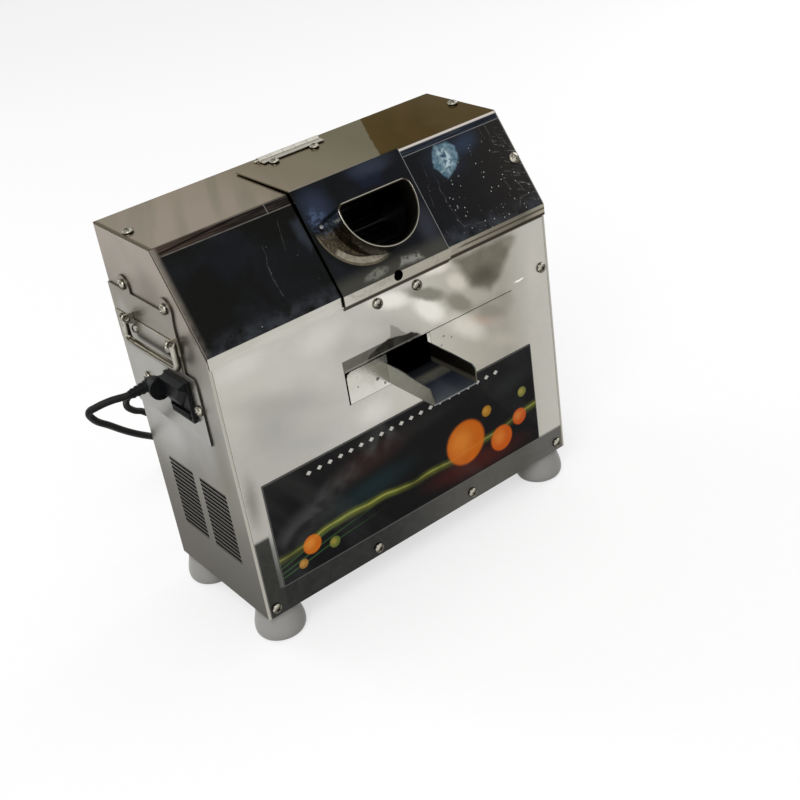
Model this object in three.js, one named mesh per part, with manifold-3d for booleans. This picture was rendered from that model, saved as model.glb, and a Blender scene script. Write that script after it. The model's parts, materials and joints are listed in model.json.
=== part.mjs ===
// Table-top sugarcane juicer: a folded steel cabinet with a hinged feed lid, two fluted crushing
// rollers driven by a geared motor, a juice tray with an open spout, and a mains lead.
// Units are millimetres, +Z is up, the front (label and spout) faces -Y and +X runs to the right.
// While the pieces are shaped, z = 0 is the underside of the cabinet and y = 0 its front face.
// place() moves every piece so that the origin ends under the middle of the footprint.

import * as THREE from 'three';
import Module from 'manifold-3d';
import { ConvexGeometry } from 'three/addons/geometries/ConvexGeometry.js';
import { mergeVertices } from 'three/addons/utils/BufferGeometryUtils.js';

const wasm = await Module();
wasm.setup();
const { Manifold, Mesh: SolidMesh } = wasm;

// cabinet
const WIDTH = 350;
const DEPTH = 146.5;
const HEIGHT = 331.4;
const SLANT_RISE = 76.4;
const SLANT_TOP_Y = 52;
const LIP_H = 10;
const SHEET = 1.2;
const SIDE_SHEET = 2;
const BEND_R = 2.2;
const GAP = 0.3;
const CENTRE_X = 7.5;

// feet
const FOOT_H = 29;
const FOOT_R = 22.6;
const FOOT_SIDE_IN = 19;
const FOOT_FRONT_Y = 19;
const FOOT_REAR_IN = 12.5;

// lid, hinge and feed tube
const LID_W = 111;
const LID_LIFT = 3.4;
const LID_TOP_LIFT = 1.4;
const LID_REAR_IN = 17;
const HINGE_IN = 13.5;
const HINGE_W = 63.5;
const HINGE_R = 2.6;
const PIN_R = 1.1;
const TUBE_R = 37;
const TUBE_WALL = 1.6;
const TUBE_FLAT = 11.3;
const TUBE_CORNER = 7.5;
const TUBE_OUT = 24.8;
const TUBE_S = 53.6;
const LOCK_HOLE_R = 4.6;
const LOCK_HOLE_DROP = 2;

// outlet, tray and spout
const OUTLET_LEFT = -58;
const OUTLET_RIGHT = 34;
const OUTLET_LOW = 158;
const OUTLET_TOP = 188.6;
const SLIT_END_IN = 46;
const SLIT_H = 0.7;
const APRON_SIDE_GAP = 1.5;
const SPOUT_W = 47;
const SPOUT_OUT = 60;
const SPOUT_FLOOR_Z = 160.4;
const SPOUT_WALL_TOP = 179;
const SPOUT_DROP = 0.4;
const TRAY_W = 104;
const TRAY_BACK_IN = 28.5;
const CHEEK_LOW_DROP = 38.4;

// label
const LABEL_LEFT_IN = 20.5;
const LABEL_RIGHT_IN = 31;
const LABEL_LOW = 24.5;
const LABEL_TOP = 127.3;
const LABEL_T = 0.4;

// vents
const SLOT_COUNT = 15;
const SLOT_PITCH = 4.67;
const SLOT_H = 2.2;
const SLOT_TOP_Z = 115.9;
const SLOT_COLUMNS = [[25.8, 69], [80, 121]];

// service plate with handle and mains inlet
const PLATE_T = 1.5;
const PLATE_FRONT_LOW_Y = 25.2;
const PLATE_FRONT_TOP_Y = 39.7;
const PLATE_TOP_DROP = 51.8;
const PLATE_H = 112.6;
const PLATE_STEP_H = 62;
const EAR_R = 9.7;
const EARS = [[115.6, 4.2], [47.2, 3.7]];
const SLIT_W = 1.6;

// folding handles
const BAIL_R = 3;
const BAIL_FRONT_Y = 34;
const BAIL_REAR_Y = 116;
const BAIL_PIVOT_DROP = 20.6;
const BAIL_DROP = 20.8;
const BAIL_OUT = 6.6;
const GRIP_PLATE_DROP = 3;
const GRIP_PLATE_H = 26;
const GRIP_RIVETS = [[56.4, 10], [110.6, 8.6]];

// mains inlet, switch and lead
const INLET_Y0 = 37.5;
const INLET_Y1 = 72.4;
const INLET_DROP = 57.1;
const INLET_H = 37;
const BEZEL_T = 3.4;
const CONNECTOR_OUT = 5.6;
const BOOT_R = 10.3;
const BOOT_L = 14;
const CORD_R = 3.1;
const COIL_TURNS = 5;
const COIL_INNER_R = 27.8;
const COIL_PITCH = 6.8;
const COIL_X = -30;
const COIL_BEHIND = 89.5;

// rollers and drive
const ROLLER_R = 25;
const ROLLER_GAP = 2;
const ROLLER_L = 98;
const FLUTES = 24;
const FLUTE_DEPTH = 2.2;
const SHAFT_R = 8;
const LOWER_Y = 70.3;
const LOWER_RISE = 50.9 / 142.8;
const BEARING_R = 15.7;
const BEARING_L = 10;
const CHEEK_T = 6;
const GEAR_MODULE = 2;
const ROLLER_TEETH = 26;
const MAIN_TEETH = 60;
const PINION_TEETH = 16;
const GEAR_W = 10;
const BACKLASH = 0.45;
const CHUTE_OUT = 16;
const CHUTE_SHEET = 2;
const CHUTE_SLACK = 2;
const MOTOR_R = 46;
const MOTOR_Z = 70;
const MOTOR_Y = 73;

// screws
const SCREW_HEAD_R = 4.8;
const SCREW_HEAD_H = 3.4;
const SCREW_SHANK_R = 2;
const SCREW_SHANK_L = 7;

// derived values
const HALF_W = WIDTH / 2;
const FOOT_X = HALF_W - FOOT_SIDE_IN;
const SLIT_END_X = HALF_W - SLIT_END_IN;
const LABEL_LEFT = LABEL_LEFT_IN - HALF_W;
const LABEL_RIGHT = HALF_W - LABEL_RIGHT_IN;
const SLANT_LOW_Z = HEIGHT - SLANT_RISE;
const LIP_LOW_Z = SLANT_LOW_Z - LIP_H;
const LOCK_HOLE_Z = SLANT_LOW_Z - LOCK_HOLE_DROP;
const FOOT_REAR_Y = DEPTH - FOOT_REAR_IN;
const LID_REAR_Y = DEPTH - LID_REAR_IN;
const HINGE_Y = DEPTH - HINGE_IN;
const TRAY_BACK_Y = DEPTH - TRAY_BACK_IN;
const COIL_Y = DEPTH + COIL_BEHIND;
const PLATE_TOP_Z = HEIGHT - PLATE_TOP_DROP;
const PLATE_LOW_Z = PLATE_TOP_Z - PLATE_H;
const PLATE_STEP_Z = PLATE_LOW_Z + PLATE_STEP_H;
const BAIL_PIVOT_Z = PLATE_TOP_Z - BAIL_PIVOT_DROP;
const GRIP_PLATE_TOP = BAIL_PIVOT_Z - GRIP_PLATE_DROP;
const GRIP_PLATE_LOW = GRIP_PLATE_TOP - GRIP_PLATE_H;
const INLET_Z1 = PLATE_TOP_Z - INLET_DROP;
const INLET_Z0 = INLET_Z1 - INLET_H;
const LOWER_Z = OUTLET_TOP + LOWER_RISE * (HEIGHT - OUTLET_TOP);
const slantDirY = SLANT_TOP_Y;
const slantDirZ = HEIGHT - SLANT_LOW_Z;
const slantLen = Math.hypot(slantDirY, slantDirZ);
const slantUp = [slantDirY / slantLen, slantDirZ / slantLen];
const slantOut = [-slantUp[1], slantUp[0]];
const slantAngle = Math.atan2(slantUp[1], slantUp[0]);
const lidLeft = CENTRE_X - LID_W / 2;
const lidRight = CENTRE_X + LID_W / 2;
const axisDist = 2 * ROLLER_R + ROLLER_GAP;
const upperY = LOWER_Y + axisDist * slantUp[0];
const upperZ = LOWER_Z + axisDist * slantUp[1];
const mainR = GEAR_MODULE * MAIN_TEETH / 2;
const pinionR = GEAR_MODULE * PINION_TEETH / 2;
const pinionZ = LOWER_Z - mainR - pinionR;
const plateX = HALF_W + GAP;
const plateOutX = plateX + PLATE_T;

// the cheeks stand beside the tray; what lies between them is innerX0 to innerX1
const trayX0 = CENTRE_X + 1.5 - TRAY_W / 2;
const trayX1 = trayX0 + TRAY_W;
const cheekLeft = trayX0 - GAP - CHEEK_T;
const cheekRight = trayX1 + GAP;
const innerX0 = cheekLeft + CHEEK_T + GAP;
const innerX1 = cheekRight - GAP;

// The object is centred on its bounding box seen from above, the lead left out.
const frontMost = -SPOUT_OUT;
const rearMost = DEPTH + CHUTE_OUT;
const shiftX = (PLATE_T + GAP) / 2;
const shiftY = -(frontMost + rearMost) / 2;
const shiftZ = FOOT_H;

const group = new THREE.Group();
group.name = 'sugarcane_juicer';

function toSolid(geometry) {
  const bare = new THREE.BufferGeometry();
  bare.setAttribute('position', geometry.getAttribute('position').clone());
  if (geometry.index) {
    bare.setIndex(geometry.index.clone());
  }
  const merged = mergeVertices(bare, 1e-4);
  const mesh = new SolidMesh({
    numProp: 3,
    vertProperties: new Float32Array(merged.getAttribute('position').array),
    triVerts: new Uint32Array(merged.index.array),
  });
  mesh.merge();
  return new Manifold(mesh);
}

function toGeometry(solid) {
  const mesh = solid.getMesh();
  const geometry = new THREE.BufferGeometry();
  const points = new Float32Array(mesh.numVert * 3);
  for (let i = 0; i < mesh.numVert; i += 1) {
    points[3 * i] = mesh.vertProperties[mesh.numProp * i];
    points[3 * i + 1] = mesh.vertProperties[mesh.numProp * i + 1];
    points[3 * i + 2] = mesh.vertProperties[mesh.numProp * i + 2];
  }
  geometry.setAttribute('position', new THREE.BufferAttribute(points, 3));
  geometry.setIndex(Array.from(mesh.triVerts));
  return geometry;
}

function place(name, solid, colour, metal = 0.9, rough = 0.3) {
  const geometry = solid.isBufferGeometry ? solid : toGeometry(solid);
  geometry.translate(shiftX, shiftY, shiftZ);
  geometry.computeVertexNormals();
  const material = new THREE.MeshStandardMaterial({ color: colour, metalness: metal, roughness: rough });
  material.name = name;
  const mesh = new THREE.Mesh(geometry, material);
  mesh.name = name;
  group.add(mesh);
  return mesh;
}

const STEEL = 0xb9b6ae;
const BRIGHT = 0xd6d6d2;
const DARK = 0x55575a;
const BLACK = 0x1b1b1c;

function box(x0, x1, y0, y1, z0, z1) {
  const geometry = new THREE.BoxGeometry(x1 - x0, y1 - y0, z1 - z0);
  geometry.translate((x0 + x1) / 2, (y0 + y1) / 2, (z0 + z1) / 2);
  return toSolid(geometry);
}

function shapeOf(points, holes = []) {
  const shape = new THREE.Shape(points.map((p) => new THREE.Vector2(p[0], p[1])));
  for (const hole of holes) {
    shape.holes.push(new THREE.Path(hole.map((p) => new THREE.Vector2(p[0], p[1]))));
  }
  return shape;
}

function extrude(points, holes, length) {
  return new THREE.ExtrudeGeometry(shapeOf(points, holes), { depth: length, bevelEnabled: false });
}

// profile in (y, z), swept along X
function alongX(points, x0, x1, holes = []) {
  const geometry = extrude(points, holes, x1 - x0);
  const turn = new THREE.Matrix4().makeBasis(
    new THREE.Vector3(0, 1, 0), new THREE.Vector3(0, 0, 1), new THREE.Vector3(1, 0, 0));
  geometry.applyMatrix4(turn);
  geometry.translate(x0, 0, 0);
  return toSolid(geometry);
}

// profile in (x, z), swept along Y
function alongY(points, y0, y1, holes = []) {
  const geometry = extrude(points, holes, y1 - y0);
  const turn = new THREE.Matrix4().makeBasis(
    new THREE.Vector3(1, 0, 0), new THREE.Vector3(0, 0, 1), new THREE.Vector3(0, -1, 0));
  geometry.applyMatrix4(turn);
  geometry.translate(0, y1, 0);
  return toSolid(geometry);
}

// profile in (x, y), swept along Z
function alongZ(points, z0, z1, holes = []) {
  const geometry = extrude(points, holes, z1 - z0);
  geometry.translate(0, 0, z0);
  return toSolid(geometry);
}

function ring(cx, cy, radius, sides, turn = 0) {
  const points = [];
  for (let i = 0; i < sides; i += 1) {
    const a = turn + 2 * Math.PI * i / sides;
    points.push([cx + radius * Math.cos(a), cy + radius * Math.sin(a)]);
  }
  return points;
}

function rodX(y, z, radius, x0, x1, sides = 24) {
  return alongX(ring(y, z, radius, sides), x0, x1);
}

function rodY(x, z, radius, y0, y1, sides = 24) {
  return alongY(ring(x, z, radius, sides), y0, y1);
}

// round profile [radius, height] turned about a line through `base` along `axis`
function turned(profile, base, axis, sides = 24) {
  const geometry = new THREE.LatheGeometry(profile.map((p) => new THREE.Vector2(p[0], p[1])), sides);
  const spin = new THREE.Quaternion().setFromUnitVectors(
    new THREE.Vector3(0, 1, 0), new THREE.Vector3(...axis).normalize());
  geometry.applyQuaternion(spin);
  geometry.translate(...base);
  return toSolid(geometry);
}

// rounds the inner corners of an open path of [a, b] points
function roundPath(path, radius, steps = 3) {
  const out = [path[0]];
  for (let i = 1; i < path.length - 1; i += 1) {
    const here = new THREE.Vector2(...path[i]);
    const back = new THREE.Vector2(...path[i - 1]).sub(here).normalize();
    const on = new THREE.Vector2(...path[i + 1]).sub(here).normalize();
    const half = Math.acos(THREE.MathUtils.clamp(back.dot(on), -1, 1)) / 2;
    const reach = radius / Math.tan(half);
    const start = here.clone().addScaledVector(back, reach);
    const end = here.clone().addScaledVector(on, reach);
    const mid = back.clone().add(on).normalize();
    const centre = here.clone().addScaledVector(mid, radius / Math.sin(half));
    const a0 = Math.atan2(start.y - centre.y, start.x - centre.x);
    let sweep = Math.atan2(end.y - centre.y, end.x - centre.x) - a0;
    while (sweep > Math.PI) {
      sweep -= 2 * Math.PI;
    }
    while (sweep < -Math.PI) {
      sweep += 2 * Math.PI;
    }
    for (let k = 0; k <= steps; k += 1) {
      const a = a0 + sweep * k / steps;
      out.push([centre.x + radius * Math.cos(a), centre.y + radius * Math.sin(a)]);
    }
  }
  out.push(path[path.length - 1]);
  return out;
}

// closed outline of a folded sheet: an open path and the same path moved sideways by `t`
function sheet(path, t) {
  const moved = [];
  for (let i = 0; i < path.length; i += 1) {
    const here = new THREE.Vector2(...path[i]);
    const before = i > 0 ? here.clone().sub(new THREE.Vector2(...path[i - 1])).normalize() : null;
    const after = i < path.length - 1
      ? new THREE.Vector2(...path[i + 1]).sub(here).normalize() : null;
    const d1 = before ?? after;
    const d2 = after ?? before;
    const n1 = new THREE.Vector2(-d1.y, d1.x);
    const n2 = new THREE.Vector2(-d2.y, d2.x);
    const mid = n1.clone().add(n2).normalize();
    const scale = t / mid.dot(n1);
    moved.push([here.x + mid.x * scale, here.y + mid.y * scale]);
  }
  return path.concat(moved.reverse());
}

function tube(points, radius, sides, steps) {
  const curve = new THREE.CatmullRomCurve3(points.map((p) => new THREE.Vector3(...p)), false, 'centripetal');
  const geometry = new THREE.ExtrudeGeometry(shapeOf(ring(0, 0, radius, sides)), {
    steps, bevelEnabled: false, extrudePath: curve,
  });
  return { solid: toSolid(geometry), curve };
}

function slantPoint(s, off) {
  return [s * slantUp[0] + off * slantOut[0], SLANT_LOW_Z + s * slantUp[1] + off * slantOut[1]];
}

// screws

function screw(at, axis) {
  const dome = [[0, -SCREW_SHANK_L], [SCREW_SHANK_R, -SCREW_SHANK_L], [SCREW_SHANK_R, GAP]];
  dome.push([SCREW_HEAD_R, GAP]);
  for (let k = 1; k <= 3; k += 1) {
    const a = Math.PI / 2 * k / 3;
    dome.push([SCREW_HEAD_R * Math.cos(a), GAP + 0.9 + (SCREW_HEAD_H - 0.9) * Math.sin(a)]);
  }
  dome[dome.length - 1][0] = 0;
  const body = turned(dome, [0, 0, 0], [0, 1, 0], 14);
  const blade = 0.55;
  const reach = 2.4;
  const low = GAP + SCREW_HEAD_H - 1.5;
  const across = box(-reach, reach, low, low + 3, -blade, blade);
  const upright = box(-blade, blade, low, low + 3, -reach, reach);
  const cut = toGeometry(body.subtract(across).subtract(upright));
  const spin = new THREE.Quaternion().setFromUnitVectors(
    new THREE.Vector3(0, 1, 0), new THREE.Vector3(...axis).normalize());
  cut.applyQuaternion(spin);
  cut.translate(...at);
  return cut;
}

const shankHole = SCREW_SHANK_R + GAP;
const frontScrewX = HALF_W - 9.1;
const topScrewX = HALF_W - 7.6;
const frontScrews = {
  front_screw_low_left: [-frontScrewX, 8.1],
  front_screw_low_mid_left: [-54.9, 8.1],
  front_screw_low_mid_right: [56.5, 8.1],
  front_screw_low_right: [frontScrewX, 8.1],
  front_screw_side: [frontScrewX, LIP_LOW_Z - 49],
  front_screw_top_left: [-14.4, LIP_LOW_Z - 9.9],
  front_screw_top_right: [27.4, LIP_LOW_Z - 9.9],
};
const topScrews = { top_screw_left: [-topScrewX, 100], top_screw_right: [topScrewX, 100] };
const plateScrews = {
  plate_screw_ear_front: [48, PLATE_TOP_Z + 4.2],
  plate_screw_ear_rear: [116, PLATE_TOP_Z + 5.6],
  plate_screw_low_front: [29.8, PLATE_LOW_Z + 32.1],
  plate_screw_low_rear: [114.1, PLATE_LOW_Z + 33.4],
};
for (const [name, at] of Object.entries(frontScrews)) {
  place(name, screw([at[0], 0, at[1]], [0, -1, 0]), BRIGHT, 1, 0.2);
}
for (const [name, at] of Object.entries(topScrews)) {
  place(name, screw([at[0], at[1], HEIGHT], [0, 0, 1]), BRIGHT, 1, 0.2);
}
for (const [name, at] of Object.entries(plateScrews)) {
  place(name, screw([-plateOutX, at[0], at[1]], [-1, 0, 0]), BRIGHT, 1, 0.2);
}

// cabinet

const insideX = HALF_W - SIDE_SHEET - GAP;
const lipFace = -(SHEET + GAP);

{
  const outer = box(-insideX, insideX, SHEET + GAP, DEPTH - SHEET - GAP, 0, 14);
  const inner = box(-insideX + SHEET, insideX - SHEET, 2 * SHEET + GAP, DEPTH - 2 * SHEET - GAP, SHEET, 20);
  let pan = outer.subtract(inner);
  for (const [x, z] of Object.values(frontScrews)) {
    if (z < 20) {
      pan = pan.subtract(rodY(x, z, shankHole, -2, 12, 12));
    }
  }
  place('base_pan', pan, STEEL);
}

const hoodPath = roundPath([
  [DEPTH, HEIGHT], [SLANT_TOP_Y, HEIGHT], [lipFace, SLANT_LOW_Z], [lipFace, LIP_LOW_Z],
], BEND_R);

function sideOutline() {
  const under = SHEET + GAP;
  const low = slantPoint(0, -under);
  const lowZ = low[1] - low[0] * slantUp[1] / slantUp[0];
  const topZ = HEIGHT - under;
  const topY = low[0] + (topZ - low[1]) * slantUp[0] / slantUp[1] + 1.2;
  return [[0, 0], [DEPTH, 0], [DEPTH, topZ], [topY, topZ], [0, lowZ - 1.5]];
}

function cutVents(panel, x0, x1) {
  let cut = panel;
  for (const [y0, y1] of SLOT_COLUMNS) {
    for (let i = 0; i < SLOT_COUNT; i += 1) {
      const z1 = SLOT_TOP_Z - i * SLOT_PITCH;
      cut = cut.subtract(box(x0, x1, y0, y1, z1 - SLOT_H, z1));
    }
  }
  return cut;
}

{
  let left = alongX(sideOutline(), -HALF_W, -HALF_W + SIDE_SHEET);
  left = cutVents(left, -HALF_W - 1, -HALF_W + SIDE_SHEET + 1);
  const slitFront = PLATE_FRONT_LOW_Y - SLIT_W;
  left = left.subtract(box(
    -HALF_W - 1, -HALF_W + 3, slitFront, PLATE_FRONT_LOW_Y, PLATE_LOW_Z, PLATE_STEP_Z - 8));
  for (const [y, z] of Object.values(plateScrews)) {
    left = left.subtract(rodX(y, z, shankHole, -HALF_W - 1, -HALF_W + 3, 12));
  }
  const cut = 2;
  left = left.subtract(box(
    -HALF_W - 1, -HALF_W + 3, INLET_Y0 + cut, INLET_Y1 - cut, INLET_Z0 + cut, INLET_Z1 - cut));
  place('left_side_panel', left, STEEL);

  let right = alongX(sideOutline(), HALF_W - SIDE_SHEET, HALF_W);
  right = cutVents(right, HALF_W - SIDE_SHEET - 1, HALF_W + 1);
  place('right_side_panel', right, STEEL);
}

const frontTop = SLANT_LOW_Z - 3.5;

{
  let front = box(-insideX, insideX, 0, SHEET, 0, frontTop);
  front = front.subtract(box(OUTLET_LEFT, OUTLET_RIGHT, -1, 3, OUTLET_LOW, OUTLET_TOP));
  front = front.subtract(box(OUTLET_RIGHT - 1, SLIT_END_X, -1, 3, OUTLET_TOP - SLIT_H, OUTLET_TOP));
  for (const [x, z] of Object.values(frontScrews)) {
    front = front.subtract(rodY(x, z, shankHole, -2, 3, 12));
  }
  front = front.subtract(rodY(CENTRE_X, LOCK_HOLE_Z, LOCK_HOLE_R + 0.6, -12, 3, 16));
  place('front_panel', front, BRIGHT, 1, 0.12);
}

const chuteLowZ = LOWER_Z - 46.5;
const chuteHighZ = LOWER_Z + 12.5;

{
  let rear = box(-insideX, insideX, DEPTH - SHEET, DEPTH, 0, HEIGHT - SHEET - GAP);
  rear = rear.subtract(box(
    innerX0 - CHUTE_SLACK, innerX1 + CHUTE_SLACK, DEPTH - 3, DEPTH + 3, chuteLowZ, chuteHighZ));
  place('rear_panel', rear, STEEL);
}

const openX0 = lidLeft + 9;
const openX1 = lidRight - 9;

{
  let hood = alongX(sheet(hoodPath, SHEET), -HALF_W, HALF_W);
  hood = hood.subtract(box(openX0, openX1, 9, LID_REAR_Y - 13.5, SLANT_LOW_Z + 10, HEIGHT + 5));
  for (const [x, y] of Object.values(topScrews)) {
    hood = hood.subtract(alongZ(ring(x, y, shankHole, 12), HEIGHT - 4, HEIGHT + 2));
  }
  hood = hood.subtract(rodY(CENTRE_X, LOCK_HOLE_Z, LOCK_HOLE_R + 0.6, -12, 3, 16));
  place('hood', hood, BRIGHT, 1, 0.15);
}

// lid: a folded sheet over the opening in the hood, held a little proud of it at the front

const lidTopZ = HEIGHT + LID_TOP_LIFT + SHEET;
const lidRearZ = HEIGHT + GAP + SHEET + 0.5;
const lidSlantOff = LID_LIFT + SHEET - 0.6;
const lidLow = slantPoint(0, lidSlantOff);
const lidFaceY = lipFace - LID_LIFT + 0.6;
const lidBendZ = lidLow[1] + (lidFaceY - lidLow[0]) * slantUp[1] / slantUp[0];
const lidTopLow = slantPoint(slantLen, lidSlantOff);
const lidBendY = lidTopLow[0] + (lidTopZ - lidTopLow[1]) * slantUp[0] / slantUp[1];
const lidPath = roundPath([
  [LID_REAR_Y, lidRearZ], [lidBendY, lidTopZ], [lidFaceY, lidBendZ], [lidFaceY, LIP_LOW_Z + 0.4],
], BEND_R);

// D outline of the feed tube in its own plane: first across, then up the slant
function tubeOutline(radius, flat, corner) {
  const points = [];
  const cv = flat - corner;
  const cu = Math.sqrt((radius - corner) ** 2 - cv ** 2);
  const a0 = Math.atan2(cv, cu);
  for (let k = 0; k <= 4; k += 1) {
    const a = Math.PI / 2 + (a0 - Math.PI / 2) * k / 4;
    points.push([cu + corner * Math.cos(a), cv + corner * Math.sin(a)]);
  }
  const arc = Math.PI + 2 * a0;
  for (let k = 1; k < 22; k += 1) {
    const a = a0 - arc * k / 22;
    points.push([radius * Math.cos(a), radius * Math.sin(a)]);
  }
  for (let k = 4; k >= 0; k -= 1) {
    const a = Math.PI / 2 + (a0 - Math.PI / 2) * k / 4;
    points.push([-cu - corner * Math.cos(a), cv + corner * Math.sin(a)]);
  }
  return points;
}

function tubePrism(inset, from, to) {
  const outline = tubeOutline(TUBE_R - inset, TUBE_FLAT - inset, TUBE_CORNER - inset);
  const geometry = extrude(outline.reverse(), [], to - from);
  geometry.translate(0, 0, from);
  const turn = new THREE.Matrix4().makeBasis(
    new THREE.Vector3(1, 0, 0),
    new THREE.Vector3(0, slantUp[0], slantUp[1]),
    new THREE.Vector3(0, slantOut[0], slantOut[1]));
  geometry.applyMatrix4(turn);
  const base = slantPoint(TUBE_S, 0);
  geometry.translate(CENTRE_X + 0.8, base[0], base[1]);
  return toSolid(geometry);
}

{
  let lid = alongX(sheet(lidPath, SHEET), lidLeft, lidRight);
  lid = lid.subtract(tubePrism(-GAP, -5, 20));
  lid = lid.subtract(rodY(CENTRE_X, LOCK_HOLE_Z, LOCK_HOLE_R, -12, 3, 20));
  place('lid_flap', lid, BRIGHT, 1, 0.15);

  const shell = tubePrism(0, lidSlantOff - SHEET, TUBE_OUT);
  place('feed_tube', shell.subtract(tubePrism(TUBE_WALL, -30, TUBE_OUT + 5)), STEEL, 1, 0.25);
}

// piano hinge: three knuckles on the lid leaf, two on the hood leaf, one pin through them

const hingeZ = HEIGHT + HINGE_R + 0.35;
const hingeX0 = CENTRE_X + 0.7 - HINGE_W / 2;
const knuckles = 5;
const knuckleL = HINGE_W / knuckles;
const leafT = 0.9;

function knuckle(i) {
  const x0 = hingeX0 + i * knuckleL + GAP / 2;
  return rodX(HINGE_Y, hingeZ, HINGE_R, x0, x0 + knuckleL - GAP, 16);
}

{
  const bore = rodX(HINGE_Y, hingeZ, PIN_R + 0.05, hingeX0 - 5, hingeX0 + HINGE_W + 5, 12);
  const leafZ = lidRearZ + GAP + 0.35;
  let front = box(hingeX0, hingeX0 + HINGE_W, HINGE_Y - 10.5, HINGE_Y, leafZ, leafZ + leafT);
  front = front.subtract(box(
    hingeX0 - 2, hingeX0 + HINGE_W + 2, HINGE_Y - HINGE_R - GAP, HINGE_Y + 5, leafZ - 5, leafZ + 5));
  for (const i of [0, 2, 4]) {
    const x0 = hingeX0 + i * knuckleL + GAP / 2;
    const web = box(x0, x0 + knuckleL - GAP, HINGE_Y - HINGE_R - 1.4, HINGE_Y - 1, leafZ, leafZ + leafT);
    front = front.add(web).add(knuckle(i));
  }
  place('hinge_leaf_lid', front.subtract(bore), BRIGHT, 1, 0.2);

  const rearZ = HEIGHT + GAP;
  let rear = box(hingeX0, hingeX0 + HINGE_W, HINGE_Y + HINGE_R + GAP, HINGE_Y + 7.5, rearZ, rearZ + leafT);
  for (const i of [1, 3]) {
    const x0 = hingeX0 + i * knuckleL + GAP / 2;
    const web = box(x0, x0 + knuckleL - GAP, HINGE_Y + 0.5, HINGE_Y + HINGE_R + 1.4, rearZ, rearZ + leafT);
    rear = rear.add(web).add(knuckle(i));
  }
  place('hinge_leaf_hood', rear.subtract(bore), BRIGHT, 1, 0.2);

  place('hinge_pin', rodX(HINGE_Y, hingeZ, PIN_R, hingeX0 - 0.8, hingeX0 + HINGE_W + 0.8, 12), DARK);
}

// label film on the lower front

{
  let film = box(LABEL_LEFT, LABEL_RIGHT, -GAP - LABEL_T, -GAP, LABEL_LOW, LABEL_TOP);
  place('front_label', film, 0x2c2b2d, 0, 0.35);
}

// feet

{
  const profile = [[0, 0], [18.4, 0], [19.2, -6], [21, -13]];
  profile.push([FOOT_R, -20], [FOOT_R, -24], [21.2, -27.4], [18.6, -FOOT_H], [0, -FOOT_H]);
  const lowered = profile.map((p) => [p[0], p[1] === 0 ? -GAP : p[1]]).reverse();
  const spots = {
    foot_front_left: [-FOOT_X, FOOT_FRONT_Y],
    foot_front_right: [FOOT_X, FOOT_FRONT_Y],
    foot_rear_left: [-FOOT_X, FOOT_REAR_Y],
    foot_rear_right: [FOOT_X, FOOT_REAR_Y],
  };
  for (const [name, at] of Object.entries(spots)) {
    place(name, turned(lowered, [at[0], at[1], 0], [0, 0, 1], 20), 0xc9c8c4, 0, 0.35);
  }
}

// service plate, handles and their plates

{
  const outline = [[PLATE_FRONT_LOW_Y, PLATE_LOW_Z], [DEPTH - 1, PLATE_LOW_Z], [DEPTH - 1, PLATE_TOP_Z]];
  for (const [y, up] of EARS) {
    const z = PLATE_TOP_Z + up;
    outline.push([y + EAR_R, PLATE_TOP_Z]);
    for (let k = 0; k <= 8; k += 1) {
      const a = Math.PI * k / 8;
      outline.push([y + EAR_R * Math.cos(a), z + EAR_R * Math.sin(a)]);
    }
    if (y > DEPTH / 2) {
      outline.push([y - EAR_R, PLATE_TOP_Z]);
    }
  }
  outline.push([PLATE_FRONT_TOP_Y, PLATE_TOP_Z - 8]);
  outline.push([PLATE_FRONT_TOP_Y, PLATE_STEP_Z]);
  outline.push([PLATE_FRONT_LOW_Y + 2.2, PLATE_STEP_Z - 0.4]);
  outline.push([PLATE_FRONT_LOW_Y, PLATE_STEP_Z - 6]);
  let plate = alongX(outline, -plateOutX, -plateX);
  for (const [y, z] of Object.values(plateScrews)) {
    plate = plate.subtract(rodX(y, z, shankHole, -HALF_W - 5, -HALF_W + 3, 12));
  }
  const cut = 2;
  plate = plate.subtract(box(
    -HALF_W - 5, -HALF_W + 3, INLET_Y0 + cut, INLET_Y1 - cut, INLET_Z0 + cut, INLET_Z1 - cut));
  place('service_plate', plate, STEEL, 1, 0.3);
}

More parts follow.
